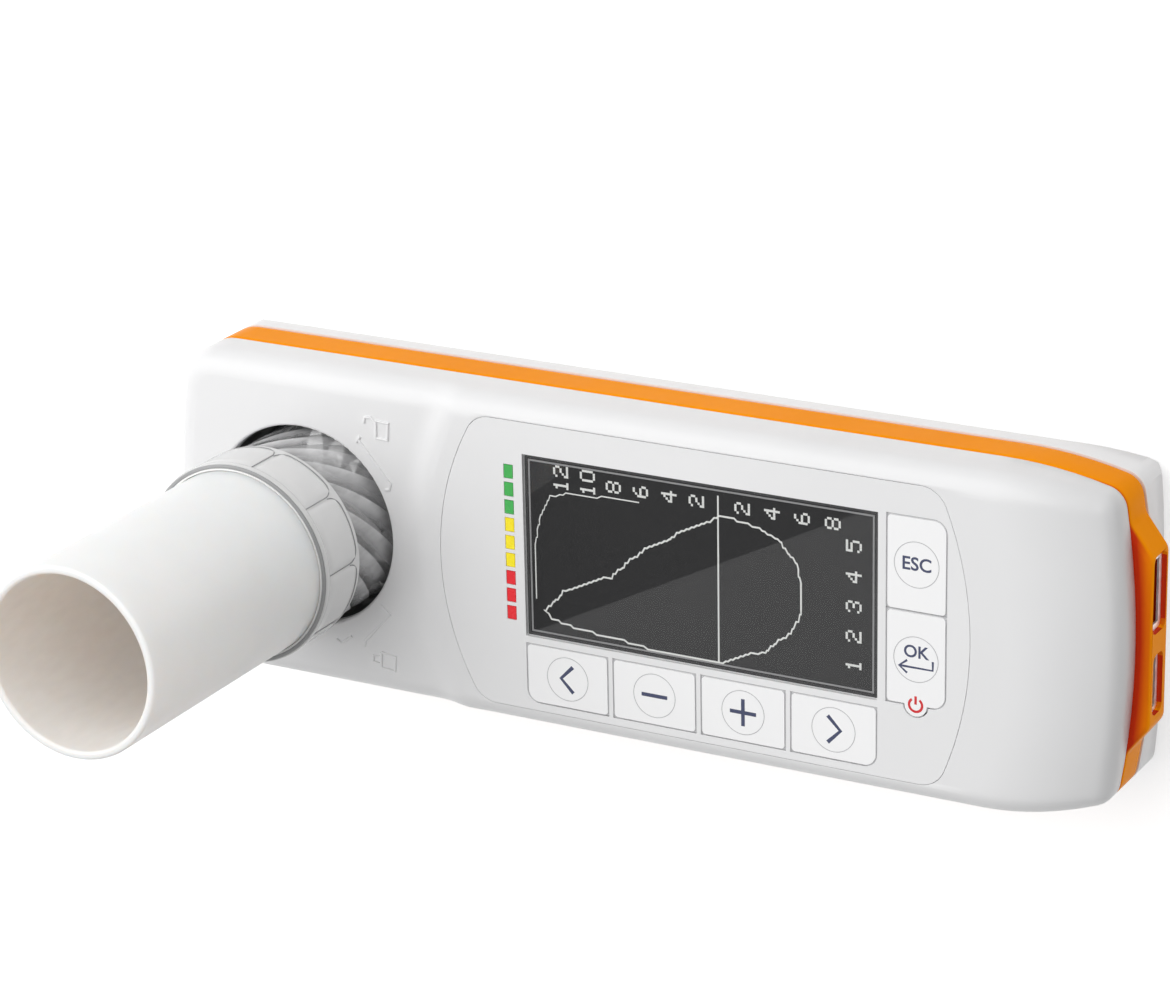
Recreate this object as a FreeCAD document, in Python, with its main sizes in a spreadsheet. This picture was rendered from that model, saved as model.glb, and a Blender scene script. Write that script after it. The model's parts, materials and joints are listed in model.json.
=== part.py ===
import FreeCAD, Part
import math
import os
import re

import Sketcher

# Handheld spirometer, lying on its back: +Z is the way the display faces, +X runs
# from the turbine end to the connector end, and z = 0 is the rear face.
os.makedirs("parts", exist_ok=True)
doc = FreeCAD.newDocument("handheld_spirometer")
sheet = doc.addObject("Spreadsheet::Sheet", "Sizes")
aliases = []


# The sheet of sizes

def enter(alias, content):
    """Write one named cell of the sheet, with its name beside it."""
    line = str(len(aliases) + 1)
    sheet.set("A" + line, alias)
    sheet.set("B" + line, content)
    sheet.setAlias("B" + line, alias)
    aliases.append(alias)


def sized(formula):
    """The formula with each alias written the way an expression reads it."""
    def named(word):
        return "Sizes." + word.group() if word.group() in aliases else word.group()
    return re.sub(r"[a-z_]+", named, formula)


def value(alias):
    """What a cell holds, in millimetres or degrees."""
    return float(sheet.get(alias))


# Driving sizes, in millimetres and degrees, and counts
SIZES = {
    "case_long": 160.8,  # white shells, end to end
    "case_wide": 53.0,  # across the long edges
    "case_thick": 25.0,  # rear face to display face
    "rear_high": 8.75,  # rear shell, up to the coloured band
    "band_high": 7.35,  # coloured band between the shells
    "case_wall": 2.0,  # wall of both shells and the band
    "end_bow": 130.0,  # radius of the bowed ends in plan
    "left_corner": 6.5,  # plan corner radius at the turbine end
    "right_corner": 3.6,  # plan corner radius at the connector end
    "taper_bow": 68.0,  # radius by which the sides draw in
    "taper_long": 21.0,  # length over which the sides draw in
    "front_edge": 3.8,  # rounding round the front face
    "rear_edge": 7.0,  # rounding round the rear face
    "deck_step": 1.2,  # display deck above the turbine zone
    "ramp_bow": 54.0,  # plan radius of the foot of the ramp
    "ramp_foot": 42.0,  # left end to the foot of the ramp
    "ramp_run": 5.6,  # width of the ramp
    "fall_bow": 60.0,  # plan radius of the crest at the right
    "fall_run": 15.6,  # crest to the right end
    "fall_drop": 4.2,  # height lost from the crest to the end
    "tongue_thick": 1.0,  # locating tongue inside the band
    "tongue_reach": 1.2,  # tongue into each shell
    "fit_gap": 0.1,  # clearance of a seated piece
    "slide_gap": 0.25,  # clearance round a moving piece

    "boss_proud": 2.2,  # connector boss beyond the end
    "boss_flat": 26.5,  # length of the boss's flat face
    "boss_ramp": 5.6,  # length of each sloping end of the boss
    "boss_shift": 0.9,  # boss off the centre line
    "boss_soft": 2.4,  # rounding of the boss's bends
    "boss_edge": 1.1,  # rounding of the boss's long edges
    "wide_port_long": 12.0,  # opening for the sensor plug
    "wide_port_high": 5.0,  # opening for the sensor plug
    "wide_port_at": 8.0,  # sensor opening off the centre line
    "slim_port_long": 9.5,  # opening for the charging plug
    "slim_port_high": 3.8,  # opening for the charging plug
    "slim_port_at": 6.1,  # charging opening off the centre line
    "port_corner": 1.2,  # corner radius of both openings
    "port_level": 12.6,  # height of both openings' centres

    "socket_at": 24.0,  # left end to the turbine axis
    "socket_bore": 16.4,  # radius of the turbine socket
    "socket_edge": 0.4,  # rounding of the socket's mouth
    "sleeve_wall": 1.6,  # wall of the socket sleeve
    "outlet_bore": 14.4,  # radius of the hole in the rear face
    "shelf_low": 8.0,  # underside of the bayonet shelf
    "shelf_thick": 2.4,  # bayonet shelf
    "lug_high": 2.4,  # height of a bayonet lug
    "lug_reach": 0.8,  # lug out from the tube
    "lug_wide": 7.0,  # width of a bayonet lug
    "twist": 40.0,  # turn that frees the turbine

    "tube_wall": 1.3,  # wall of the turbine tube
    "tube_bore": 13.9,  # radius of the turbine's air way
    "collar_low": 32.5,  # rear edge of the clear collar
    "collar_top": 43.0,  # front edge of the clear collar
    "collar_wall": 0.8,  # wall of the clear collar
    "flange_high": 1.6,  # front ring of the collar
    "flange_out": 0.3,  # front ring beyond the collar
    "pad_proud": 0.25,  # grip pad beyond the collar
    "pad_high": 6.2,  # height of a grip pad
    "pad_wide": 6.6,  # width of a grip pad
    "pad_count": 9,  # grip pads round the collar

    "mouth_radius": 15.0,  # outside of the mouthpiece
    "mouth_wall": 1.3,  # wall of the mouthpiece
    "mouth_top": 88.0,  # open end above the rear face
    "mouth_edge": 0.5,  # rounding of the open end

    "stator_high": 8.5,  # depth of a stator
    "stator_ring": 0.9,  # outer ring of a stator
    "stator_hub": 2.6,  # radius of a stator's hub
    "stator_blade": 0.8,  # a blade, measured round the hub
    "stator_lean": 6.0,  # sideways run of a blade from face to face
    "stator_blades": 8,  # blades of a stator
    "front_stator_low": 23.0,  # front stator above the rear face
    "rear_stator_low": 6.0,  # rear stator above the rear face
    "vane_high": 6.5,  # rotor vane along the axis
    "vane_reach": 12.6,  # rotor vane from the axis
    "vane_thick": 0.6,  # rotor vane
    "vane_hub": 1.1,  # sleeve of the vane on its shaft
    "shaft_radius": 0.5,  # rotor shaft
    "shaft_in_cup": 1.3,  # shaft inside each pivot cup
    "cup_radius": 1.3,  # outside of a pivot cup
    "cup_deep": 2.0,  # depth of a pivot cup
    "run_gap": 0.06,  # running clearance of the shaft
    "end_float": 0.3,  # end play of the shaft

    "panel_end": 22.0,  # panel to the right end
    "panel_side": 3.0,  # panel to the long edges of the case
    "panel_left": 49.8,  # left end to the panel
    "panel_thick": 0.5,  # panel film
    "panel_bow_left": 44.0,  # plan radius of the panel's left end
    "panel_bow_right": 56.0,  # plan radius of the panel's right end
    "panel_corner": 4.4,  # corner radius of the panel
    "window_end": 36.9,  # window to the right end
    "window_top": 5.25,  # window to the upper edge of the panel
    "window_gap": 1.43,  # window to the lower keys
    "window_left": 64.8,  # left end to the window
    "window_thick": 0.6,  # display window
    "window_ledge": 1.5,  # seat of the window
    "window_soft": 0.5,  # corner radius of the window

    "key_inset": 0.12,  # row of lower keys inside the window's ends
    "key_wide": 9.36,  # lower key
    "key_gap": 1.22,  # between two lower keys
    "key_side": 1.56,  # lower keys to the lower edge of the panel
    "side_key_long": 9.26,  # right-hand key along the case
    "side_key_gap": 0.4,  # between the two right-hand keys
    "side_key_trim": 0.1,  # right-hand key shorter than half the window
    "side_key_end": 25.98,  # right-hand keys to the right end
    "side_key_shift": 0.2,  # right-hand keys above the window's centre
    "key_corner": 0.6,  # corner radius of a key
    "key_outer": 1.9,  # corner radius of a key at a corner of the panel
    "power_bump": 1.8,  # radius of the round tab of the last key
    "key_flange": 0.6,  # rim that holds a key in
    "key_travel": 0.35,  # travel of a key
    "stem_radius": 1.6,  # stem of a key
    "dome_radius": 2.6,  # snap dome
    "dome_high": 0.45,  # snap dome

    "bar_gap": 1.8,  # flow scale to the window
    "bar_wide": 1.45,  # flow scale
    "bar_piece": 2.1,  # one step of the flow scale
    "bar_pitch": 2.88,  # from step to step
    "bar_drop": 3.05,  # first step's centre below the window's upper edge

    "board_thick": 1.2,  # both circuit boards
    "main_level": 9.9,  # underside of the main board
    "main_clear": 3.5,  # main board to the socket sleeve
    "main_wide": 28.6,  # main board
    "main_end": 4.6,  # main board to the right end
    "key_board_level": 18.0,  # underside of the key board
    "key_board_clear": 5.6,  # key board to the crest of the fall
    "key_board_side": 1.5,  # key board to the inside of the front shell
    "key_board_left": 53.6,  # left end to the key board
    "display_thick": 4.8,  # display module
    "display_margin": 2.2,  # display module inside the window

    "battery_long": 52.0,  # battery pack
    "battery_wide": 32.0,  # battery pack
    "battery_thick": 6.0,  # battery pack
    "battery_left": 62.0,  # left end to the battery pack
    "battery_edge": 2.6,  # rounding of the battery pack
    "door_margin": 3.0,  # battery door round the pack
    "door_tab": 7.0,  # battery door beyond that, for its screw
    "door_screw_long": 5.0,  # battery door screw below its head
    "door_thick": 1.4,  # battery door
    "door_lip": 1.5,  # lip that the door rests on
    "door_corner": 2.5,  # corner radius of the battery door

    "port_back": 8.0,  # depth of both sockets
    "usb_long": 7.6,  # charging socket across
    "usb_high": 2.6,  # charging socket
    "sensor_long": 10.6,  # sensor socket across
    "sensor_high": 3.4,  # sensor socket
    "port_metal": 0.3,  # sheet metal of both sockets
    "port_tongue": 0.7,  # contact tongue in a socket
    "chip_side": 12.0,  # main chip
    "chip_at": 57.3,  # left end of the main board to the chip
    "chip_high": 1.2,  # main chip
    "radio_long": 14.0,  # radio module
    "radio_at": 11.3,  # left end of the main board to the radio module
    "radio_wide": 10.0,  # radio module
    "radio_high": 2.2,  # radio module
    "buzzer_radius": 5.0,  # buzzer
    "buzzer_high": 3.5,  # buzzer
    "link_long": 20.0,  # plug that joins the boards
    "link_at": 25.3,  # left end of the main board to the plug
    "link_wide": 4.0,  # plug that joins the boards
    "post_radius": 2.0,  # post under a board
    "post_in": 1.9,  # post from the end of its board
    "post_side": 2.6,  # post from the side of its board
    "board_screw": 0.8,  # board screw thread
    "board_screw_head": 1.6,  # board screw head
    "board_screw_high": 0.8,  # board screw head

    "lamp_radius": 1.5,  # infrared lamp and detector
    "lamp_long": 3.2,  # infrared lamp and detector
    "lamp_recess": 0.3,  # lamp behind the socket's bore
    "ring_board_thick": 1.0,  # sensor board round the sleeve
    "ring_board_wide": 1.9,  # sensor board round the sleeve
    "rest_wide": 1.2,  # ledge that carries the sensor board

    "screw_radius": 1.2,  # case screw thread
    "screw_head": 2.3,  # case screw head
    "screw_head_high": 1.4,  # case screw head
    "screw_long": 11.0,  # case screw below its head
    "screw_sunk": 2.0,  # head below the rear face
    "pillar_radius": 3.2,  # screw pillar
    "pillar_left": 9.0,  # left end to the first pillars
    "pillar_right": 9.0,  # right end to the last pillars
    "pillar_out": 18.2,  # pillars off the centre line
}
for name, size in SIZES.items():
    enter(name, str(size))

# Sizes that follow from others, as formulas
FOLLOWING = {
    "case_left": "-(case_long + boss_proud) / 2",  # left end
    "case_right": "case_left + case_long",  # right end of the shells
    "case_half": "case_wide / 2",  # half the width
    "left_reach": "-case_left",  # left end from the middle
    "band_top": "rear_high + band_high",  # front edge of the band
    "low_face": "case_thick - deck_step",  # front face round the turbine
    "taper_start": "case_right - taper_long",  # where the sides start to draw in
    "axis_x": "case_left + socket_at",  # turbine axis
    "ceiling": "low_face - case_wall",  # underside of the front face
    "panel_floor": "case_thick - panel_thick",  # seat of the panel
    "tube_low": "case_wall + slide_gap",  # rear end of the turbine above the rear face
    "tube_radius": "tube_bore + tube_wall",  # outside of the turbine tube
    "seat_bore": "mouth_radius + fit_gap",  # mouthpiece seat in the collar
    "collar_radius": "seat_bore + collar_wall",  # outside of the collar
    "sleeve_radius": "socket_bore + sleeve_wall",  # outside of the sleeve
    "shelf_bore": "tube_radius + slide_gap",  # bore of the bayonet shelf
    "shelf_top": "shelf_low + shelf_thick",  # top of the bayonet shelf
    "lug_low": "shelf_low - slide_gap - lug_high",  # underside of a lug
    "key_board_top": "key_board_level + board_thick",  # top of the key board
    "main_top": "main_level + board_thick",  # top of the main board
    "mouth_seat": "collar_low + fit_gap * 5",  # where the collar's seat starts
    "boss_end": "case_right + boss_proud",  # right end of the connector boss
    "lamp_level": "(rear_stator_low + stator_high + front_stator_low) / 2",  # height of lamps and vane
    "rest_top": "lamp_level - lamp_radius - ring_board_thick",  # underside of the sensor board
    "stator_out": "tube_bore - fit_gap / 2",  # outside of a stator
    "battery_low": "door_thick + fit_gap",  # underside of the battery pack
    "panel_long": "case_long - panel_left - panel_end",  # display panel at its middle
    "panel_wide": "case_wide - panel_side * 2",  # display panel across
    "window_long": "case_long - window_left - window_end",  # display window
    "window_wide": "panel_wide - key_side - key_wide - window_gap - window_top",  # display window
    "window_up": "panel_wide / 2 - window_top - window_wide / 2",  # window's centre above the centre line
    "key_long": "(window_long - key_inset * 2 - key_gap * 3) / 4",  # lower key
    "side_key_wide": "(window_wide - side_key_gap) / 2 - side_key_trim",  # right-hand key across the case
    "bar_left": "window_left - bar_gap - bar_wide",  # left end to the flow scale
    "bar_up": "window_up + window_wide / 2 - bar_drop",  # first step's centre above the centre line
    "main_left": "case_left + socket_at + sleeve_radius + main_clear",  # left end of the main board
    "main_long": "case_right - main_end - main_left",  # main board
    "key_board_long": "case_long - key_board_left - fall_run - key_board_clear",  # key board
    "key_board_wide": "case_wide - case_wall * 4 - key_board_side * 2",  # key board
    "no_inset": "0",  # the outline itself
    "tongue_inset": "case_wall + fit_gap",  # outside of the tongue
    "tongue_inner": "tongue_inset + tongue_thick",  # inside of the tongue
}
for name, formula in FOLLOWING.items():
    enter(name, "=" + formula)

# Keys, with the panel corner at which one is rounded more: right or left, upper or lower
BOTTOM_KEYS = ("key_left", "key_minus", "key_plus", "key_right")
SIDE_KEYS = ("key_escape", "key_confirm")
OUTER_CORNERS = {"key_left": (-1, -1), "key_right": (1, -1), "key_escape": (1, 1), "key_confirm": (1, -1)}
for step, name in enumerate(BOTTOM_KEYS):
    enter(name + "_x",
          "=case_left + window_left + key_inset + key_long / 2 + %d * (key_long + key_gap)" % step)
    enter(name + "_y", "=key_side + key_wide / 2 - panel_wide / 2")
for step, name in enumerate(SIDE_KEYS):
    enter(name + "_x", "=case_right - side_key_end - side_key_long / 2")
    enter(name + "_y", "=window_up + side_key_shift + (1 / 2 - %d) * (side_key_wide + side_key_gap)" % step)
doc.recompute()


# Helpers

def bind(thing, path, formula):
    """Tie one property of an object to the sheet."""
    thing.setExpression(path, sized(formula))


def place(thing, x="0", y="0", z="0"):
    """Tie an object's position to the sheet."""
    for letter, formula in (("x", x), ("y", y), ("z", z)):
        bind(thing, "Placement.Base." + letter, formula)


def body(label):
    """An empty body with its own origin."""
    made = doc.addObject("PartDesign::Body", label)
    made.Label = label
    return made


def sketch(holder, name, role="XY_Plane", lift="0"):
    """A sketch on one of the body's own planes, lifted off it by a formula."""
    plane = [feature for feature in holder.Origin.OriginFeatures if feature.Role == role][0]
    drawn = holder.newObject("Sketcher::SketchObject", name)
    drawn.AttachmentSupport = (plane, [""])
    drawn.MapMode = "FlatFace"
    bind(drawn, "AttachmentOffset.Base.z", lift)
    return drawn


def dimension(drawn, kind, parts, start, formula):
    """A sketch dimension tied to the sheet, with a value to start from."""
    number = drawn.addConstraint(Sketcher.Constraint(kind, *parts, start))
    bind(drawn, "Constraints[%d]" % number, formula)


def polygon(drawn, corners):
    """A closed line through corners given as pairs of formulas."""
    count = len(corners)
    first = len(drawn.Geometry)
    turn = 2 * math.pi / count
    reach = value("case_half")
    rough = [FreeCAD.Vector(reach * math.cos(turn * step), reach * math.sin(turn * step), 0)
             for step in range(count)]
    for step in range(count):
        drawn.addGeometry(Part.LineSegment(rough[step], rough[(step + 1) % count]), False)
    for step in range(count):
        after = first + (step + 1) % count
        drawn.addConstraint(Sketcher.Constraint("Coincident", first + step, 2, after, 1))
    for step, (across, along) in enumerate(corners):
        dimension(drawn, "DistanceX", (-1, 1, first + step, 1), rough[step].x, across)
        dimension(drawn, "DistanceY", (-1, 1, first + step, 1), rough[step].y, along)
    return drawn


def rectangle(drawn, left, low, right, high):
    """A rectangle between two corners given as formulas."""
    return polygon(drawn, [(left, low), (right, low), (right, high), (left, high)])


def circle(drawn, radius, across="0", along="0"):
    """A circle with its centre and radius given as formulas."""
    which = drawn.addGeometry(Part.Circle(FreeCAD.Vector(1, 1, 0), FreeCAD.Vector(0, 0, 1), 5), False)
    dimension(drawn, "Radius", (which,), 5, radius)
    dimension(drawn, "DistanceX", (-1, 1, which, 3), 1, across)
    dimension(drawn, "DistanceY", (-1, 1, which, 3), 1, along)
    return drawn


def pad(holder, drawn, high, name, back=False):
    """Raise a sketch by a formula."""
    made = holder.newObject("PartDesign::Pad", name)
    made.Profile = drawn
    made.Reversed = back
    bind(made, "Length", high)
    drawn.Visibility = False
    holder.Tip = made
    return made


def pocket(holder, drawn, deep, name, up=False):
    """Cut a sketch down, or up, by a formula."""
    made = holder.newObject("PartDesign::Pocket", name)
    made.Profile = drawn
    made.Reversed = up
    bind(made, "Length", deep)
    holder.Tip = made
    return made


def turn_about(holder, drawn, name, cut=False, angle="360"):
    """Turn a sketch about its own upright axis, to add or to cut."""
    kind = "PartDesign::Groove" if cut else "PartDesign::Revolution"
    made = holder.newObject(kind, name)
    made.Profile = drawn
    made.ReferenceAxis = (drawn, ["V_Axis"])
    bind(made, "Angle", angle)
    made.Midplane = True
    holder.Tip = made
    return made


def soften(holder, edges, radius, name):
    """Round the named edges of the body's tip."""
    rounded = holder.Tip
    made = holder.newObject("PartDesign::Fillet", name)
    made.Base = (rounded, edges)
    bind(made, "Radius", radius)
    holder.Tip = made
    return made


def edges_where(thing, wanted):
    """Names of the edges of an object's shape for which a test holds."""
    return ["Edge%d" % (at + 1) for at, edge in enumerate(thing.Shape.Edges) if wanted(edge)]


def upright(edge):
    """True for a straight edge along the Z axis."""
    ends = [vertex.Point for vertex in edge.Vertexes]
    if len(ends) < 2:
        return False
    run = ends[1] - ends[0]
    return run.Length > 1e-6 and math.hypot(run.x, run.y) < 1e-6


def box(name, low, sizes):
    """A box with its low corner and its sizes given as formulas."""
    made = doc.addObject("Part::Box", name)
    for side, formula in zip(("Length", "Width", "Height"), sizes):
        bind(made, side, formula)
    place(made, *low)
    return made


def rod(name, radius, high, x, y, z):
    """An upright cylinder given by formulas."""
    made = doc.addObject("Part::Cylinder", name)
    bind(made, "Radius", radius)
    bind(made, "Height", high)
    place(made, x, y, z)
    return made


def joined(label, pieces):
    """One sub-part out of several solids."""
    made = doc.addObject("Part::MultiFuse", label)
    made.Label = label
    made.Shapes = pieces
    return made


def grouped(label, pieces):
    """Like pieces that stay separate solids in one node."""
    made = doc.addObject("Part::Compound", label)
    made.Label = label
    made.Links = pieces
    return made


def cut(label, base, tool):
    """A base with a tool taken away."""
    made = doc.addObject("Part::Cut", label)
    made.Label = label
    made.Base = base
    made.Tool = tool
    return made


# Outlines

def corner_between(first, second, radius):
    """Centre of the corner arc inside two circles, each given as (x, y, radius)."""
    reach_a = first[2] - radius
    reach_b = second[2] - radius
    across = second[0] - first[0]
    along = second[1] - first[1]
    gap = math.hypot(across, along)
    foot = (reach_a ** 2 - reach_b ** 2 + gap ** 2) / (2 * gap)
    rise = math.sqrt(reach_a ** 2 - foot ** 2)
    mids = (first[0] + across * foot / gap, first[1] + along * foot / gap)
    return max(((mids[0] - along * rise / gap, mids[1] + across * rise / gap),
                (mids[0] + along * rise / gap, mids[1] - across * rise / gap)), key=sum)


def outward(centre, corner, radius):
    """Point of a circle on the ray from its centre through a corner's centre."""
    across = corner[0] - centre[0]
    along = corner[1] - centre[1]
    length = math.hypot(across, along)
    return (centre[0] + across * radius / length, centre[1] + along * radius / length)


def arc(centre, radius, start, end):
    """Counter-clockwise arc between two points of a circle."""
    angles = [math.atan2(point[1] - centre[1], point[0] - centre[0]) for point in (start, end)]
    ring = Part.Circle(FreeCAD.Vector(centre[0], centre[1], 0), FreeCAD.Vector(0, 0, 1), radius)
    return Part.ArcOfCircle(ring, angles[0], angles[1])


def mirrored(point):
    """The same point on the other side of the centre line."""
    return (point[0], -point[1])


def case_outline(drawn, inset):
    """Plan of the case, drawn in by the inset: bowed ends, sides that draw in at the right."""
    shift = value(inset)
    half = value("case_half") - shift
    bow = value("end_bow") - shift
    sweep = value("taper_bow") - shift
    left_round = value("left_corner") - shift
    right_round = value("right_corner") - shift
    left_centre = (value("case_left") + value("end_bow"), 0)
    right_centre = (value("case_right") - value("end_bow"), 0)
    taper_centre = (value("taper_start"), value("case_half") - value("taper_bow"))
    near = (left_centre[0] - math.sqrt((bow - left_round) ** 2 - (half - left_round) ** 2), half - left_round)
    far = corner_between((*taper_centre, sweep), (*right_centre, bow), right_round)
    end_point = outward(right_centre, far, bow)
    taper_end = outward(taper_centre, far, sweep)
    taper_point = (taper_centre[0], half)
    side_point = (near[0], half)
    left_point = outward(left_centre, near, bow)
    pieces = [
        arc(right_centre, bow, mirrored(end_point), end_point),
        arc(far, right_round, end_point, taper_end),
        arc(taper_centre, sweep, taper_end, taper_point),
        Part.LineSegment(FreeCAD.Vector(*taper_point, 0), FreeCAD.Vector(*side_point, 0)),
        arc(near, left_round, side_point, left_point),
        arc(left_centre, bow, left_point, mirrored(left_point)),
        arc(mirrored(near), left_round, mirrored(left_point), mirrored(side_point)),
        Part.LineSegment(FreeCAD.Vector(*mirrored(side_point), 0), FreeCAD.Vector(*mirrored(taper_point), 0)),
        arc(mirrored(taper_centre), sweep, mirrored(taper_point), mirrored(taper_end)),
        arc(mirrored(far), right_round, mirrored(taper_end), mirrored(end_point)),
    ]
    drawn.addGeometry(pieces, False)
    for step in range(len(pieces)):
        after = (step + 1) % len(pieces)
        drawn.addConstraint(Sketcher.Constraint("Tangent", step, 2, after, 1))
    drawn.addConstraint(Sketcher.Constraint("Equal", 1, 9))
    drawn.addConstraint(Sketcher.Constraint("Equal", 2, 8))
    drawn.addConstraint(Sketcher.Constraint("Equal", 4, 6))
    drawn.addConstraint(Sketcher.Constraint("PointOnObject", 0, 3, -1))
    drawn.addConstraint(Sketcher.Constraint("PointOnObject", 5, 3, -1))
    drawn.addConstraint(Sketcher.Constraint("Horizontal", 3))
    drawn.addConstraint(Sketcher.Constraint("Horizontal", 7))
    dimension(drawn, "Radius", (0,), bow, "end_bow - " + inset)
    dimension(drawn, "Radius", (5,), bow, "end_bow - " + inset)
    dimension(drawn, "Radius", (1,), right_round, "right_corner - " + inset)
    dimension(drawn, "Radius", (2,), sweep, "taper_bow - " + inset)
    dimension(drawn, "Radius", (4,), left_round, "left_corner - " + inset)
    dimension(drawn, "DistanceX", (-1, 1, 0, 3), right_centre[0], "case_right - end_bow")
    dimension(drawn, "DistanceX", (-1, 1, 5, 3), left_centre[0], "case_left + end_bow")
    dimension(drawn, "DistanceX", (-1, 1, 2, 3), taper_centre[0], "taper_start")
    dimension(drawn, "DistanceX", (-1, 1, 8, 3), taper_centre[0], "taper_start")
    dimension(drawn, "DistanceY", (-1, 1, 3, 1), half, "case_half - " + inset)
    dimension(drawn, "DistanceY", (-1, 1, 7, 1), -half, inset + " - case_half")
    return drawn


def panel_outline(drawn, inset):
    """Plan of the display panel, drawn in by the inset: straight sides and bowed ends."""
    shift = value(inset)
    half = value("panel_wide") / 2 - shift
    corner = value("panel_corner") - shift
    left_bow = value("panel_bow_left") - shift
    right_bow = value("panel_bow_right") - shift
    left_end = value("case_left") + value("panel_left")
    left_centre = (left_end + value("panel_bow_left"), 0)
    right_centre = (left_end + value("panel_long") - value("panel_bow_right"), 0)
    near = (left_centre[0] - math.sqrt((left_bow - corner) ** 2 - (half - corner) ** 2), half - corner)
    far = (right_centre[0] + math.sqrt((right_bow - corner) ** 2 - (half - corner) ** 2), half - corner)
    end_point = outward(right_centre, far, right_bow)
    left_point = outward(left_centre, near, left_bow)
    far_side = (far[0], half)
    near_side = (near[0], half)
    pieces = [
        arc(right_centre, right_bow, mirrored(end_point), end_point),
        arc(far, corner, end_point, far_side),
        Part.LineSegment(FreeCAD.Vector(*far_side, 0), FreeCAD.Vector(*near_side, 0)),
        arc(near, corner, near_side, left_point),
        arc(left_centre, left_bow, left_point, mirrored(left_point)),
        arc(mirrored(near), corner, mirrored(left_point), mirrored(near_side)),
        Part.LineSegment(FreeCAD.Vector(*mirrored(near_side), 0), FreeCAD.Vector(*mirrored(far_side), 0)),
        arc(mirrored(far), corner, mirrored(far_side), mirrored(end_point)),
    ]
    drawn.addGeometry(pieces, False)
    for step in range(len(pieces)):
        after = (step + 1) % len(pieces)
        drawn.addConstraint(Sketcher.Constraint("Tangent", step, 2, after, 1))
    for other in (3, 5, 7):
        drawn.addConstraint(Sketcher.Constraint("Equal", 1, other))
    drawn.addConstraint(Sketcher.Constraint("PointOnObject", 0, 3, -1))
    drawn.addConstraint(Sketcher.Constraint("PointOnObject", 4, 3, -1))
    drawn.addConstraint(Sketcher.Constraint("Horizontal", 2))
    drawn.addConstraint(Sketcher.Constraint("Horizontal", 6))
    dimension(drawn, "Radius", (0,), right_bow, "panel_bow_right - " + inset)
    dimension(drawn, "Radius", (4,), left_bow, "panel_bow_left - " + inset)
    dimension(drawn, "Radius", (1,), corner, "panel_corner - " + inset)
    dimension(drawn, "DistanceX", (-1, 1, 0, 3), right_centre[0],
              "case_left + panel_left + panel_long - panel_bow_right")
    dimension(drawn, "DistanceX", (-1, 1, 4, 3), left_centre[0], "case_left + panel_left + panel_bow_left")
    dimension(drawn, "DistanceY", (-1, 1, 2, 1), half, "panel_wide / 2 - " + inset)
    dimension(drawn, "DistanceY", (-1, 1, 6, 1), -half, inset + " - panel_wide / 2")
    return drawn


# Keys

def key_frame(label):
    """Centre and sizes of a key's cap, as names in the sheet."""
    if label in BOTTOM_KEYS:
        return label + "_x", label + "_y", "key_long", "key_wide"
    return label + "_x", label + "_y", "side_key_long", "side_key_wide"


def at_outer_corner(edge, label, grow):
    """True for the upright edge at the corner of a key, or of its opening, that lies at a panel corner."""
    if label not in OUTER_CORNERS or not upright(edge):
        return False
    x, y, long, wide = (value(alias) for alias in key_frame(label))
    side, rise = OUTER_CORNERS[label]
    point = edge.Vertexes[0].Point
    return math.hypot(point.x - x - side * (long / 2 + grow), point.y - y - rise * (wide / 2 + grow)) < 1e-4


def at_square_corner(edge, label):
    """True for an upright edge at one of a key's other corners."""
    x, y, long, wide = (value(alias) for alias in key_frame(label))
    point = edge.Vertexes[0].Point
    off = math.hypot(abs(point.x - x) - long / 2, abs(point.y - y) - wide / 2)
    return upright(edge) and off < 1e-4


def key_rectangle(drawn, label, grow):
    """A key's outline, grown by a formula on every side."""
    x, y, long, wide = key_frame(label)
    return rectangle(drawn, "%s - %s / 2 - (%s)" % (x, long, grow), "%s - %s / 2 - (%s)" % (y, wide, grow),
                     "%s + %s / 2 + (%s)" % (x, long, grow), "%s + %s / 2 + (%s)" % (y, wide, grow))


def power_tab(drawn, grow):
    """The round tab at the lower edge of the last key, grown by a formula."""
    x, y, long, wide = key_frame(SIDE_KEYS[1])
    return circle(drawn, "power_bump + " + grow, x, "%s - %s / 2" % (y, wide))


def key(label):
    """A moulded key: a cap through the panel and the case, a rim under the case at both ends, and a stem."""
    made = body(label)
    cap = sketch(made, label + "_cap_plan", lift="ceiling - slide_gap")
    key_rectangle(cap, label, "0")
    pad(made, cap, "case_thick - ceiling + slide_gap", label + "_cap")
    doc.recompute()
    if label in OUTER_CORNERS:
        soften(made, edges_where(made.Tip, lambda edge: at_outer_corner(edge, label, 0)), "key_outer",
               label + "_outer_corner")
        doc.recompute()
    soften(made, edges_where(made.Tip, lambda edge: at_square_corner(edge, label)), "key_corner",
           label + "_corners")
    if label == SIDE_KEYS[1]:
        tab = sketch(made, label + "_tab_plan", lift="ceiling - slide_gap")
        power_tab(tab, "0")
        pad(made, tab, "case_thick - ceiling + slide_gap", label + "_tab")
    rim = sketch(made, label + "_rim_plan", lift="ceiling - slide_gap")
    x, y, long, wide = key_frame(label)
    rectangle(rim, "%s - %s / 2 - slide_gap - key_flange / 2" % (x, long), "%s - %s / 2" % (y, wide),
              "%s + %s / 2 + slide_gap + key_flange / 2" % (x, long), "%s + %s / 2" % (y, wide))
    pad(made, rim, "key_flange", label + "_rim", back=True)
    stem = sketch(made, label + "_stem_plan", lift="ceiling - slide_gap")
    circle(stem, "stem_radius", x, y)
    pad(made, stem, "ceiling - slide_gap - key_board_top - dome_high - key_travel - slide_gap",
        label + "_stem", back=True)
    return made


# Case

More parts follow.
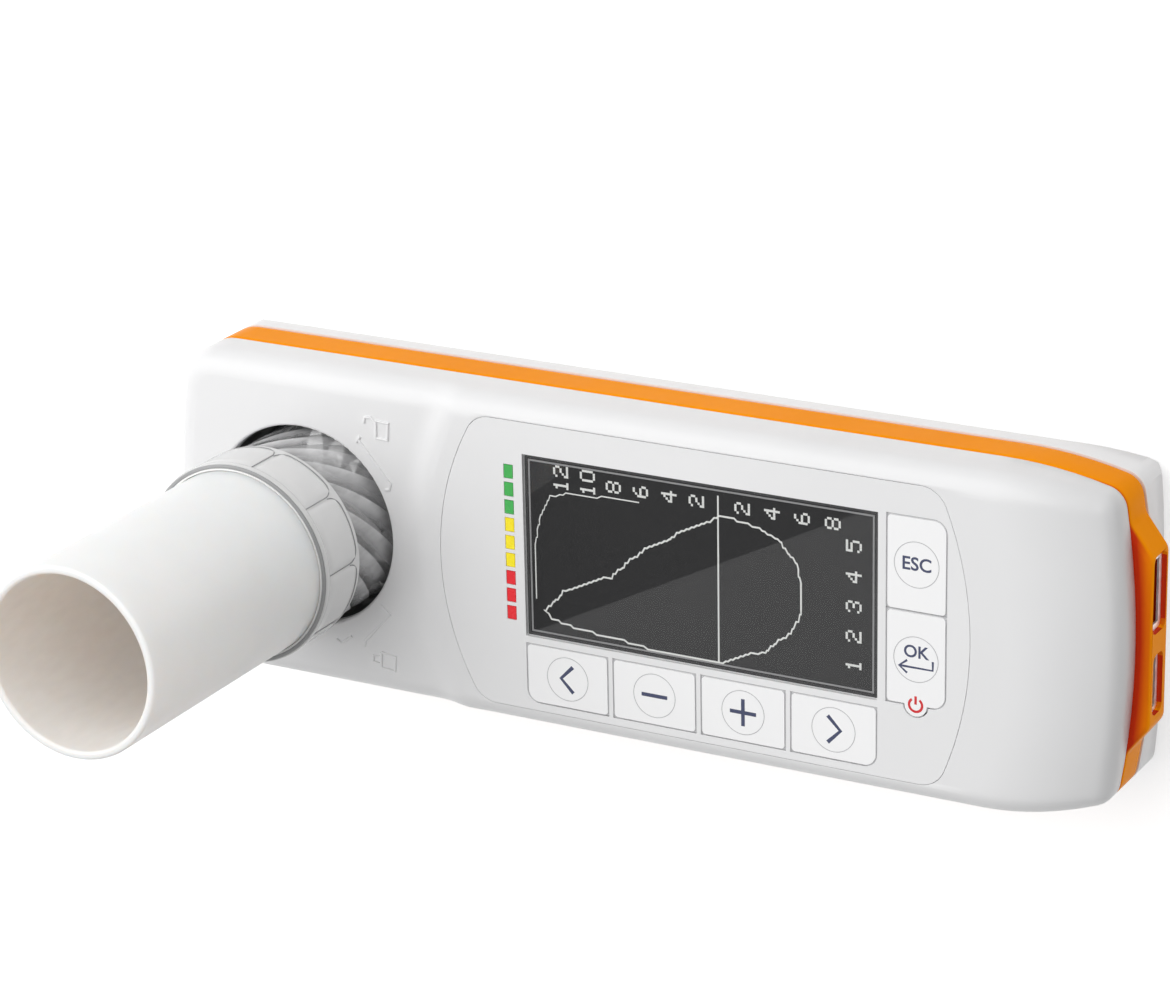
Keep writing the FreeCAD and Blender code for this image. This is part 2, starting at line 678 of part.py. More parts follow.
def front_shell():
    """White front shell: display deck, ramp to the turbine zone, fall at the right, and its openings."""
    made = body("front_shell")
    pad(made, case_outline(sketch(made, "front_plan", lift="band_top"), "no_inset"),
        "case_thick - band_top", "front_block")
    ramp = sketch(made, "ramp_profile", "XZ_Plane")
    bind(ramp, "AttachmentOffset.Base.x", "case_left + ramp_foot + ramp_bow")
    ramp_section(ramp)
    turn_about(made, ramp, "turbine_zone", cut=True, angle="180")
    fall = sketch(made, "fall_profile", "XZ_Plane")
    bind(fall, "AttachmentOffset.Base.x", "case_right - fall_run - fall_bow")
    fall_section(fall)
    turn_about(made, fall, "right_fall", cut=True, angle="180")
    doc.recompute()
    soften(made, edges_where(made.Tip, lambda edge: on_front_rim(made.Tip.Shape, edge)), "front_edge",
           "front_rounding")
    pocket(made, case_outline(sketch(made, "skirt_plan", lift="band_top"), "case_wall"),
           "case_thick - fall_drop - case_wall - band_top - front_edge / 4", "skirt_hollow", up=True)
    room = sketch(made, "room_plan", lift="band_top")
    rectangle(room, "case_left + left_corner", "case_wall * 2 - case_half",
              "case_right - fall_run + case_wall", "case_half - case_wall * 2")
    pocket(made, room, "ceiling - band_top", "upper_hollow", up=True)
    turbine_room = sketch(made, "turbine_room_plan", lift="band_top")
    circle(turbine_room, "sleeve_radius + ring_board_wide + fit_gap * 4", "axis_x", "0")
    pocket(made, turbine_room, "ceiling - band_top", "turbine_room", up=True)
    panel_seat = sketch(made, "panel_seat_plan", lift="panel_floor")
    panel_outline(panel_seat, "no_inset")
    pocket(made, panel_seat, "panel_thick * 2", "panel_seat", up=True)
    ledge = sketch(made, "window_seat_plan", lift="case_thick - window_thick")
    window_rectangle(ledge, "fit_gap")
    pocket(made, ledge, "window_thick * 2", "window_seat", up=True)
    view = sketch(made, "view_plan", lift="band_top")
    window_rectangle(view, "-window_ledge")
    pocket(made, view, "case_thick - band_top", "view_opening", up=True)
    for label in BOTTOM_KEYS + SIDE_KEYS:
        way = sketch(made, label + "_way_plan", lift="band_top")
        key_rectangle(way, label, "slide_gap")
        pocket(made, way, "case_thick - band_top", label + "_way", up=True)
    tab = sketch(made, "tab_way_plan", lift="band_top")
    power_tab(tab, "slide_gap")
    pocket(made, tab, "case_thick - band_top", "tab_way", up=True)
    slot = sketch(made, "scale_slot_plan", lift="band_top")
    rectangle(slot, "case_left + bar_left - fit_gap", "bar_up - 8 * bar_pitch - bar_piece / 2 - fit_gap",
              "case_left + bar_left + bar_wide + fit_gap", "bar_up + bar_piece / 2 + fit_gap")
    pocket(made, slot, "case_thick - band_top", "scale_slot", up=True)
    mouth = sketch(made, "socket_plan", lift="band_top")
    circle(mouth, "socket_bore", "axis_x", "0")
    pocket(made, mouth, "case_thick - band_top", "socket_mouth", up=True)
    doc.recompute()
    soften(made, edges_where(made.Tip, on_socket_rim), "socket_edge", "socket_rounding")
    pillars = sketch(made, "pillar_plan", lift="rear_high + fit_gap")
    for x, y in pillar_places():
        circle(pillars, "pillar_radius", x, y)
    pad(made, pillars, "ceiling - rear_high", "screw_pillars")
    holes = sketch(made, "pillar_hole_plan", lift="rear_high + fit_gap")
    for x, y in pillar_places():
        circle(holes, "screw_radius + fit_gap / 2", x, y)
    pocket(made, holes, "screw_long - rear_high + screw_sunk + screw_head_high + fit_gap",
           "pillar_holes", up=True)
    posts = sketch(made, "key_post_plan", lift="key_board_top")
    for x, y in key_post_places():
        circle(posts, "post_radius", x, y)
    pad(made, posts, "ceiling - key_board_top + fit_gap", "key_board_posts")
    return made


def fall_section(drawn):
    """What is cut away above the curved fall at the right end, about the axis of its crest."""
    run = value("fall_run")
    drop = value("fall_drop")
    radius = (run ** 2 + drop ** 2) / (2 * drop)
    crest = value("fall_bow")
    top = value("case_thick")
    lift = top + value("case_wall")
    end = (crest + 1.3 * run, top - radius + math.sqrt(radius ** 2 - (1.3 * run) ** 2))
    pieces = [
        arc((crest, top - radius), radius, end, (crest, top)),
        Part.LineSegment(FreeCAD.Vector(crest, top, 0), FreeCAD.Vector(crest, lift, 0)),
        Part.LineSegment(FreeCAD.Vector(crest, lift, 0), FreeCAD.Vector(end[0], lift, 0)),
        Part.LineSegment(FreeCAD.Vector(end[0], lift, 0), FreeCAD.Vector(*end, 0)),
    ]
    drawn.addGeometry(pieces, False)
    for step in range(len(pieces)):
        after = (step + 1) % len(pieces)
        drawn.addConstraint(Sketcher.Constraint("Coincident", step, 2, after, 1))
    drawn.addConstraint(Sketcher.Constraint("Vertical", 1))
    drawn.addConstraint(Sketcher.Constraint("Horizontal", 2))
    drawn.addConstraint(Sketcher.Constraint("Vertical", 3))
    dimension(drawn, "Radius", (0,), radius, "(fall_run ^ 2 + fall_drop ^ 2) / (2 * fall_drop)")
    dimension(drawn, "DistanceX", (-1, 1, 0, 3), crest, "fall_bow")
    dimension(drawn, "DistanceX", (-1, 1, 0, 2), crest, "fall_bow")
    dimension(drawn, "DistanceY", (-1, 1, 0, 2), top, "case_thick")
    dimension(drawn, "DistanceX", (-1, 1, 0, 1), end[0], "fall_bow + 1.3 * fall_run")
    dimension(drawn, "DistanceY", (-1, 1, 1, 2), lift, "case_thick + case_wall")


def ramp_section(drawn):
    """What is cut away above the turbine zone and its ramp, about the ramp's own axis."""
    foot = -value("ramp_bow")
    head = foot + value("ramp_run")
    low = value("low_face")
    top = value("case_thick")
    radius = (value("ramp_run") ** 2 + value("deck_step") ** 2) / (4 * value("deck_step"))
    middle = ((foot + head) / 2, (low + top) / 2)
    far = -value("case_long")
    lift = top + value("case_wall")
    pieces = [
        arc((foot, low + radius), radius, (foot, low), middle),
        arc((head, top - radius), radius, (head, top), middle),
        Part.LineSegment(FreeCAD.Vector(head, top, 0), FreeCAD.Vector(head, lift, 0)),
        Part.LineSegment(FreeCAD.Vector(head, lift, 0), FreeCAD.Vector(far, lift, 0)),
        Part.LineSegment(FreeCAD.Vector(far, lift, 0), FreeCAD.Vector(far, low, 0)),
        Part.LineSegment(FreeCAD.Vector(far, low, 0), FreeCAD.Vector(foot, low, 0)),
    ]
    drawn.addGeometry(pieces, False)
    drawn.addConstraint(Sketcher.Constraint("Tangent", 0, 2, 1, 2))
    for ends in ((1, 1, 2, 1), (2, 2, 3, 1), (3, 2, 4, 1), (4, 2, 5, 1)):
        drawn.addConstraint(Sketcher.Constraint("Coincident", *ends))
    drawn.addConstraint(Sketcher.Constraint("Tangent", 5, 2, 0, 1))
    drawn.addConstraint(Sketcher.Constraint("Equal", 0, 1))
    drawn.addConstraint(Sketcher.Constraint("Vertical", 2))
    drawn.addConstraint(Sketcher.Constraint("Horizontal", 3))
    drawn.addConstraint(Sketcher.Constraint("Vertical", 4))
    drawn.addConstraint(Sketcher.Constraint("Horizontal", 5))
    dimension(drawn, "DistanceX", (-1, 1, 0, 1), foot, "-ramp_bow")
    dimension(drawn, "DistanceX", (-1, 1, 1, 1), head, "ramp_run - ramp_bow")
    dimension(drawn, "DistanceY", (-1, 1, 0, 1), low, "low_face")
    dimension(drawn, "DistanceY", (-1, 1, 1, 1), top, "case_thick")
    dimension(drawn, "DistanceX", (-1, 1, 3, 2), far, "-case_long")
    dimension(drawn, "DistanceY", (-1, 1, 3, 2), lift, "case_thick + case_wall")
    return drawn


def normal_at(face, point):
    """A face's outward normal at a point on it."""
    return face.normalAt(*face.Surface.parameter(point))


def on_front_rim(shape, edge):
    """True where an upright side wall meets a face that looks up."""
    point = edge.valueAt((edge.FirstParameter + edge.LastParameter) / 2)
    tilts = sorted(abs(normal_at(face, point).z) for face in shape.ancestorsOfType(edge, Part.Face))
    return len(tilts) == 2 and tilts[0] < 0.01 and tilts[1] > 0.3 and point.z > value("band_top") + 0.01


def on_socket_rim(edge):
    """True for the front edge of the socket's bore."""
    round_edge = edge.Curve.TypeId == "Part::GeomCircle"
    return round_edge and abs(edge.Curve.Radius - value("socket_bore")) < 1e-6 and \
        abs(edge.Curve.Center.z - value("low_face")) < 1e-6


def window_rectangle(drawn, grow):
    """The display window's outline, grown by a formula on every side."""
    return rectangle(drawn, "case_left + window_left - (%s)" % grow,
                     "window_up - window_wide / 2 - (%s)" % grow,
                     "case_left + window_left + window_long + (%s)" % grow,
                     "window_up + window_wide / 2 + (%s)" % grow)


def pillar_places():
    """Centres of the four screw pillars, as formulas."""
    return [("case_left + pillar_left", "pillar_out"), ("case_left + pillar_left", "-pillar_out"),
            ("case_right - pillar_right", "pillar_out"), ("case_right - pillar_right", "-pillar_out")]


def key_post_places():
    """Centres of the posts that carry the key board, as formulas."""
    left = "case_left + key_board_left + post_in"
    right = "case_left + key_board_left + key_board_long - post_in"
    out = "key_board_wide / 2 - post_side"
    return [(left, out), (left, "-(%s)" % out), (right, out), (right, "-(%s)" % out)]


def main_post_places():
    """Centres of the posts that carry the main board, as formulas."""
    left = "main_left + post_in"
    right = "case_right - main_end - post_in * 4"
    out = "main_wide / 2 - post_side"
    return [(left, out), (left, "-(%s)" % out), (right, out), (right, "-(%s)" % out)]


def mid_band():
    """Coloured band between the shells, with its tongues, the connector boss and both openings."""
    made = body("mid_band")
    plan = case_outline(sketch(made, "band_plan", lift="rear_high"), "no_inset")
    pad(made, plan, "band_high", "band_block")
    boss = sketch(made, "boss_plan", lift="rear_high")
    inner = "case_right - case_wall"
    polygon(boss, [
        (inner, "boss_shift - boss_flat / 2 - boss_ramp"), ("boss_end", "boss_shift - boss_flat / 2"),
        ("boss_end", "boss_shift + boss_flat / 2"), (inner, "boss_shift + boss_flat / 2 + boss_ramp")])
    pad(made, boss, "band_high", "connector_boss")
    doc.recompute()
    soften(made, edges_where(made.Tip, on_boss_bend), "boss_soft", "boss_bends")
    doc.recompute()
    soften(made, edges_where(made.Tip, on_boss_edge), "boss_edge", "boss_long_edges")
    pad(made, case_outline(sketch(made, "tongue_plan", lift="rear_high - tongue_reach"), "tongue_inset"),
        "band_high + tongue_reach * 2", "tongue_block")
    pocket(made, case_outline(sketch(made, "inside_plan", lift="rear_high - tongue_reach"), "tongue_inner"),
           "band_high + tongue_reach * 2", "band_hollow", up=True)
    for label, way in (("wide_port", 1), ("slim_port", -1)):
        opening = sketch(made, label + "_outline", "YZ_Plane", lift="case_right - port_back")
        port_outline(opening, label, way)
        pocket(made, opening, "port_back * 2", label + "_opening", up=True)
    return made


def port_outline(drawn, label, way):
    """A rounded rectangle for one connector opening, on the side of the centre line that the way gives."""
    sign = "" if way > 0 else "-"
    centre = way * value(label + "_at")
    across = value(label + "_long") / 2
    up = value(label + "_high") / 2
    level = value("port_level")
    corner = value("port_corner")
    turns = ((1, 1), (-1, 1), (-1, -1), (1, -1))
    middles = [(centre + side * (across - corner), level + rise * (up - corner)) for side, rise in turns]
    arcs = []
    for at, middle in enumerate(middles):
        ring = Part.Circle(FreeCAD.Vector(*middle, 0), FreeCAD.Vector(0, 0, 1), corner)
        arcs.append(Part.ArcOfCircle(ring, at * math.pi / 2, (at + 1) * math.pi / 2))
    lines = [Part.LineSegment(arcs[at].EndPoint, arcs[(at + 1) % 4].StartPoint) for at in range(4)]
    drawn.addGeometry(arcs + lines, False)
    for at, (side, rise) in enumerate(turns):
        drawn.addConstraint(Sketcher.Constraint("Tangent", at, 2, 4 + at, 1))
        drawn.addConstraint(Sketcher.Constraint("Tangent", 4 + at, 2, (at + 1) % 4, 1))
        dimension(drawn, "DistanceX", (-1, 1, at, 3), middles[at][0],
                  "%s%s_at + %d * (%s_long / 2 - port_corner)" % (sign, label, side, label))
        dimension(drawn, "DistanceY", (-1, 1, at, 3), middles[at][1],
                  "port_level + %d * (%s_high / 2 - port_corner)" % (rise, label))
    dimension(drawn, "Radius", (0,), corner, "port_corner")


def on_boss_bend(edge):
    """The four upright bends of the connector boss."""
    if not upright(edge):
        return False
    point = edge.Vertexes[0].Point
    reach = value("boss_flat") / 2 + value("boss_ramp")
    return point.x > value("case_right") - value("boss_proud") and abs(point.y - value("boss_shift")) < reach


def on_boss_edge(edge):
    """The front and rear edge of the boss's flat face."""
    ends = [vertex.Point for vertex in edge.Vertexes]
    return len(ends) == 2 and all(abs(end.x - value("boss_end")) < 1e-6 for end in ends) and not upright(edge)


def rear_shell():
    """White rear shell: rounded long edges and ends, air outlet, battery opening, pillars and posts."""
    made = body("rear_shell")
    pad(made, case_outline(sketch(made, "rear_plan"), "no_inset"), "rear_high", "rear_block")
    long_rounds = sketch(made, "long_round_profile", "YZ_Plane", lift="case_left")
    corner_section(long_rounds, "case_half", 1)
    corner_section(long_rounds, "case_half", -1)
    pocket(made, long_rounds, "case_long", "long_rounds", up=True)
    end_rounds = sketch(made, "end_round_profile", "XZ_Plane", lift="-case_half")
    corner_section(end_rounds, "case_right", 1)
    corner_section(end_rounds, "left_reach", -1)
    pocket(made, end_rounds, "case_wide", "end_rounds", up=True)
    pocket(made, case_outline(sketch(made, "rear_skirt_plan", lift="rear_edge * 0.75"), "case_wall"),
           "rear_high", "rear_skirt_hollow", up=True)
    room = sketch(made, "rear_room_plan", lift="case_wall")
    rectangle(room, "case_left + rear_edge + case_wall / 2", "rear_edge * 0.66 - case_half",
              "case_right - rear_edge - case_wall / 2", "case_half - rear_edge * 0.66")
    pocket(made, room, "rear_high", "rear_room", up=True)
    solid = sketch(made, "pillar_foot_plan", lift="case_wall")
    for x, y in pillar_places():
        circle(solid, "pillar_radius", x, y)
    pad(made, solid, "rear_high - case_wall", "pillar_feet")
    seat = sketch(made, "sleeve_seat_plan", lift="case_wall")
    circle(seat, "sleeve_radius + fit_gap", "axis_x", "0")
    pocket(made, seat, "rear_high", "sleeve_seat", up=True)
    boss = sketch(made, "door_boss_plan", lift="case_wall / 2")
    circle(boss, "pillar_radius", door_screw_x(), "0")
    pad(made, boss, "door_screw_long + door_thick - case_wall / 2 + fit_gap", "door_boss")
    posts = sketch(made, "main_post_plan", lift="case_wall / 2")
    for x, y in main_post_places():
        circle(posts, "post_radius", x, y)
    pad(made, posts, "main_level - case_wall / 2", "main_board_posts")
    outlet = sketch(made, "outlet_plan")
    circle(outlet, "outlet_bore", "axis_x", "0")
    pocket(made, outlet, "case_wall * 2", "air_outlet", up=True)
    heads = sketch(made, "head_plan")
    for x, y in pillar_places():
        circle(heads, "screw_head + fit_gap", x, y)
    pocket(made, heads, "screw_sunk + screw_head_high", "head_holes", up=True)
    shanks = sketch(made, "shank_plan")
    for x, y in pillar_places():
        circle(shanks, "screw_radius + fit_gap", x, y)
    pocket(made, shanks, "rear_high * 2", "shank_holes", up=True)
    recess = sketch(made, "door_recess_plan")
    door_rectangle(recess, "fit_gap")
    pocket(made, recess, "door_thick", "door_recess", up=True)
    bay = sketch(made, "battery_bay_plan")
    battery_rectangle(bay, "door_margin - door_lip")
    pocket(made, bay, "case_wall * 2", "battery_bay", up=True)
    thread = sketch(made, "door_thread_plan")
    circle(thread, "board_screw + fit_gap / 2", door_screw_x(), "0")
    pocket(made, thread, "rear_high * 2", "door_thread", up=True)
    return made


def corner_section(drawn, side, way):
    """What a rounded lower edge leaves outside itself, at one side of a profile."""
    sign = "" if way > 0 else "-"
    reach = value(side)
    spare = value("case_wall")
    round_by = value("rear_edge")
    low = (way * (reach - round_by), 0)
    high = (way * reach, round_by)
    first = len(drawn.Geometry)
    low_end, high_end = (1, 2) if way > 0 else (2, 1)
    ends = (low, high) if way > 0 else (high, low)
    path = [FreeCAD.Vector(*high, 0), FreeCAD.Vector(way * (reach + spare), round_by, 0),
            FreeCAD.Vector(way * (reach + spare), -spare, 0), FreeCAD.Vector(low[0], -spare, 0),
            FreeCAD.Vector(*low, 0)]
    lines = [Part.LineSegment(path[step], path[step + 1]) for step in range(len(path) - 1)]
    drawn.addGeometry([arc((low[0], round_by), round_by, *ends)] + lines, False)
    joints = ((first, high_end, first + 1, 1), (first + 1, 2, first + 2, 1), (first + 2, 2, first + 3, 1),
              (first + 3, 2, first + 4, 1), (first + 4, 2, first, low_end))
    for joint in joints:
        drawn.addConstraint(Sketcher.Constraint("Coincident", *joint))
    for kind, line in (("Horizontal", 1), ("Vertical", 2), ("Horizontal", 3), ("Vertical", 4)):
        drawn.addConstraint(Sketcher.Constraint(kind, first + line))
    dimension(drawn, "Radius", (first,), round_by, "rear_edge")
    dimension(drawn, "DistanceX", (-1, 1, first, 3), low[0], "%s(%s - rear_edge)" % (sign, side))
    dimension(drawn, "DistanceY", (-1, 1, first, 3), round_by, "rear_edge")
    dimension(drawn, "DistanceX", (-1, 1, first, low_end), low[0], "%s(%s - rear_edge)" % (sign, side))
    dimension(drawn, "DistanceY", (-1, 1, first, high_end), round_by, "rear_edge")
    dimension(drawn, "DistanceX", (-1, 1, first + 2, 1), way * (reach + spare),
              "%s(%s + case_wall)" % (sign, side))
    dimension(drawn, "DistanceY", (-1, 1, first + 2, 2), -spare, "-case_wall")


def door_screw_x():
    """Where the battery door's screw goes, as a formula."""
    return "case_left + battery_left - door_margin - door_tab / 2"


def battery_rectangle(drawn, grow):
    """The battery pack's outline, grown by a formula."""
    return rectangle(drawn, "case_left + battery_left - (%s)" % grow, "-battery_wide / 2 - (%s)" % grow,
                     "case_left + battery_left + battery_long + (%s)" % grow,
                     "battery_wide / 2 + (%s)" % grow)


def door_rectangle(drawn, grow):
    """The battery door's outline, grown by a formula."""
    return rectangle(drawn, "case_left + battery_left - door_margin - door_tab - (%s)" % grow,
                     "-battery_wide / 2 - door_margin - (%s)" % grow,
                     "case_left + battery_left + battery_long + door_margin + (%s)" % grow,
                     "battery_wide / 2 + door_margin + (%s)" % grow)


def panel_film():
    """Display panel film, with openings for the window, the keys and the flow scale."""
    made = body("panel_film")
    pad(made, panel_outline(sketch(made, "film_plan", lift="panel_floor"), "fit_gap"), "panel_thick", "film")
    view = sketch(made, "film_view_plan", lift="panel_floor")
    window_rectangle(view, "fit_gap")
    pocket(made, view, "panel_thick * 2", "film_view", up=True)
    for label in BOTTOM_KEYS + SIDE_KEYS:
        way = sketch(made, label + "_film_plan", lift="panel_floor")
        key_rectangle(way, label, "slide_gap")
        pocket(made, way, "panel_thick * 2", label + "_film_way", up=True)
        if label in OUTER_CORNERS:
            doc.recompute()
            corner = edges_where(made.Tip, lambda edge: at_outer_corner(edge, label, value("slide_gap")))
            soften(made, corner, "key_outer + slide_gap", label + "_film_corner")
    tab = sketch(made, "film_tab_plan", lift="panel_floor")
    power_tab(tab, "slide_gap")
    pocket(made, tab, "panel_thick * 2", "film_tab_way", up=True)
    steps = sketch(made, "film_scale_plan", lift="panel_floor")
    for step in range(SCALE_STEPS):
        rectangle(steps, "case_left + bar_left - fit_gap", "%s - bar_piece / 2 - fit_gap" % scale_y(step),
                  "case_left + bar_left + bar_wide + fit_gap", "%s + bar_piece / 2 + fit_gap" % scale_y(step))
    pocket(made, steps, "panel_thick * 2", "film_scale", up=True)
    return made


def display_window():
    """Clear window over the display, on the ledge of the front shell."""
    made = body("display_window")
    plan = sketch(made, "window_plan", lift="case_thick - window_thick")
    window_rectangle(plan, "0")
    pad(made, plan, "window_thick", "window_plate")
    doc.recompute()
    soften(made, edges_where(made.Tip, upright), "window_soft", "window_corners")
    return made


def display_module():
    """Display behind the window, standing on the key board."""
    made = box("display_module", ("case_left + window_left + display_margin",
                                  "window_up - window_wide / 2 + display_margin", "key_board_top"),
               ("window_long - display_margin * 2", "window_wide - display_margin * 2", "display_thick"))
    made.Label = "display_module"
    return made


def scale_y(step):
    """Centre of one step of the flow scale, counted from the top, as a formula."""
    return "bar_up - %d * bar_pitch" % step


def scale_part(label, first):
    """Three light guides of one colour, from the key board through the film."""
    guides = [box("%s_%d" % (label, step + 1),
                  ("case_left + bar_left", "%s - bar_piece / 2" % scale_y(first + step), "key_board_top"),
                  ("bar_wide", "bar_piece", "case_thick - key_board_top")) for step in range(COLOUR_STEPS)]
    return grouped(label, guides)


def key_board():
    """Board under the keys, with a hole at each of its posts."""
    blank = box("key_board_blank", ("case_left + key_board_left", "-key_board_wide / 2", "key_board_level"),
                ("key_board_long", "key_board_wide", "board_thick"))
    holes = [rod("key_board_hole_%d" % (at + 1), "board_screw + fit_gap", "board_thick * 3", x, y,
                 "key_board_level - board_thick") for at, (x, y) in enumerate(key_post_places())]
    return cut("key_board", blank, grouped("key_board_holes", holes))


def snap_domes():
    """Metal snap domes under the keys' stems."""
    domes = []
    for label in BOTTOM_KEYS + SIDE_KEYS:
        x, y, long, wide = key_frame(label)
        dome = doc.addObject("Part::Cone", label + "_dome")
        bind(dome, "Radius1", "dome_radius")
        bind(dome, "Radius2", "dome_radius / 2")
        bind(dome, "Height", "dome_high")
        place(dome, x, y, "key_board_top")
        domes.append(dome)
    return grouped("snap_domes", domes)


def main_board():
    """Main board over the battery pack, with a hole at each of its posts."""
    blank = box("main_board_blank", ("main_left", "-main_wide / 2", "main_level"),
                ("main_long", "main_wide", "board_thick"))
    holes = [rod("main_board_hole_%d" % (at + 1), "board_screw + fit_gap", "board_thick * 3", x, y,
                 "main_level - board_thick") for at, (x, y) in enumerate(main_post_places())]
    return cut("main_board", blank, grouped("main_board_holes", holes))


def screw(name, thread, head, head_high, long, x, y, z, point_up):
    """A screw whose head's seat lies at a height, pointing up or down from there."""
    seat = z if point_up else "%s - %s" % (z, long)
    head_low = "%s - %s" % (z, head_high) if point_up else z
    shank = rod(name + "_shank", thread, long, x, y, seat)
    cap = rod(name + "_head", head, head_high, x, y, head_low)
    return joined(name, [shank, cap])


def case_screws():
    """Screws that hold the shells together, from the rear."""
    return grouped("case_screws", [
        screw("case_screw_%d" % (at + 1), "screw_radius", "screw_head", "screw_head_high", "screw_long", x, y,
              "screw_sunk + screw_head_high", True) for at, (x, y) in enumerate(pillar_places())])


def board_screws():
    """Screws that hold both boards to their posts."""
    upper = [screw("key_board_screw_%d" % (at + 1), "board_screw", "board_screw_head", "board_screw_high",
                   "board_thick", x, y, "key_board_level", True)
             for at, (x, y) in enumerate(key_post_places())]
    lower = [screw("main_board_screw_%d" % (at + 1), "board_screw", "board_screw_head", "board_screw_high",
                   "board_thick", x, y, "main_top", False)
             for at, (x, y) in enumerate(main_post_places())]
    return grouped("board_screws", upper + lower)


def battery_pack():
    """Flat rechargeable pack, lying on its door."""
    made = body("battery_pack")
    plan = sketch(made, "pack_plan", lift="battery_low")
    battery_rectangle(plan, "0")
    pad(made, plan, "battery_thick", "pack")
    doc.recompute()
    soften(made, edges_where(made.Tip, upright), "battery_edge", "pack_edges")
    return made


def battery_door():
    """Door of the battery bay, flush with the rear face, with a tab for its screw."""
    made = body("battery_door")
    plan = sketch(made, "door_plan")
    door_rectangle(plan, "0")
    pad(made, plan, "door_thick", "door")
    doc.recompute()
    soften(made, edges_where(made.Tip, upright), "door_corner - fit_gap", "door_corners")
    hole = sketch(made, "door_hole_plan")
    circle(hole, "board_screw + fit_gap", door_screw_x(), "0")
    pocket(made, hole, "door_thick * 2", "door_hole", up=True)
    seat = sketch(made, "door_seat_plan")
    circle(seat, "board_screw_head + fit_gap", door_screw_x(), "0")
    pocket(made, seat, "board_screw_high", "door_seat", up=True)
    return made


def door_screw():
    """Screw of the battery door."""
    return screw("door_screw", "board_screw", "board_screw_head", "board_screw_high", "door_screw_long",
                 door_screw_x(), "0", "board_screw_high", True)


def port(label, at, long, high):
    """A sheet-metal socket on the main board, open to the right, with its contact tongue."""
    left = "case_right - port_back"
    y = "%s - %s / 2" % (at, long)
    shell = box(label + "_shell", (left, y, "main_top"), ("port_back", long, high))
    room = box(label + "_room", ("%s + port_metal" % left, y + " + port_metal", "main_top + port_metal"),
               ("port_back", long + " - port_metal * 2", high + " - port_metal * 2"))
    tongue = box(label + "_tongue",
                 (left, y + " + port_metal * 4", "main_top + (%s - port_tongue) / 2" % high),
                 ("port_back * 0.8", long + " - port_metal * 8", "port_tongue"))
    return joined(label, [cut(label + "_case", shell, room), tongue])


def small_parts():
    """Parts soldered to the main board."""
    chip = box("main_chip", ("main_left + chip_at", "-chip_side / 2", "main_top"),
               ("chip_side", "chip_side", "chip_high"))
    radio = box("radio_module", ("main_left + radio_at", "-radio_wide / 2", "main_top"),
                ("radio_long", "radio_wide", "radio_high"))
    buzzer = rod("buzzer", "buzzer_radius", "buzzer_high", "case_right - main_end - port_back * 2", "0",
                 "main_top")
    link = box("board_link", ("main_left + link_at", "main_wide / 2 - post_side - link_wide", "main_top"),
               ("link_long", "link_wide", "key_board_level - main_top"))
    for thing in (chip, radio, buzzer, link):
        thing.Label = thing.Name
    return [chip, radio, buzzer, link]


# Turbine socket

def round_profile(made, name, corners):
    """A body turned about its own Z axis from (radius, height) pairs of formulas."""
    profile = sketch(made, name + "_profile", "XZ_Plane")
    polygon(profile, corners)
    return turn_about(made, profile, name)


def socket_sleeve():
    """Sleeve of the turbine socket: bayonet shelf with two gates, lamp windows, ledge for its board."""
    made = body("socket_sleeve")
    round_profile(made, "sleeve", [
        ("socket_bore", "case_wall"), ("sleeve_radius", "case_wall"),
        ("sleeve_radius", "rest_top - rest_wide"), ("sleeve_radius + rest_wide", "rest_top - rest_wide / 2"),
        ("sleeve_radius + rest_wide", "rest_top"), ("sleeve_radius", "rest_top"),
        ("sleeve_radius", "ceiling"), ("socket_bore", "ceiling"),
        ("socket_bore", "shelf_top"), ("shelf_bore", "shelf_top"), ("shelf_bore", "shelf_low"),
        ("socket_bore", "shelf_low")])
    gate = sketch(made, "gate_plan", lift="shelf_low - fit_gap")
    rectangle(gate, "0", "-lug_wide / 2 - slide_gap * 2", "socket_bore", "lug_wide / 2 + slide_gap * 2")
    gates = pocket(made, gate, "shelf_thick + fit_gap * 2", "bayonet_gate", up=True)
    doc.recompute()
    spread_round(made, [gates], "2", "bayonet_gates")
    window = sketch(made, "lamp_window_plan", "YZ_Plane", lift="socket_bore / 2")
    circle(window, "lamp_radius + fit_gap", "0", "lamp_level")
    first = pocket(made, window, "socket_bore", "lamp_window", up=True)
    doc.recompute()
    spread_round(made, [first], "4", "lamp_windows")
    place(made, "axis_x", "0", "0")
    return made


def spread_round(made, features, count, name):
    """Repeat features evenly about the body's Z axis."""
    pattern = made.newObject("PartDesign::PolarPattern", name)
    pattern.Originals = features
    pattern.Axis = ([feature for feature in made.Origin.OriginFeatures if feature.Role == "Z_Axis"][0], [""])
    pattern.Angle = 360
    bind(pattern, "Occurrences", count)
    made.Tip = pattern
    return pattern


def lamps(label, ways):
    """Infrared parts of one kind, lying radially in the sleeve's windows."""
    pieces = []
    for at, way in enumerate(ways):
        lamp = doc.addObject("Part::Cylinder", "%s_%d" % (label, at + 1))
        bind(lamp, "Radius", "lamp_radius")
        bind(lamp, "Height", "lamp_long")
        lamp.Placement.Rotation = FreeCAD.Rotation(FreeCAD.Vector(-way[1], way[0], 0), 90)
        start = "(socket_bore + lamp_recess)"
        place(lamp, "axis_x + %d * %s" % (way[0], start), "%d * %s" % (way[1], start), "lamp_level")
        pieces.append(lamp)
    return grouped(label, pieces)


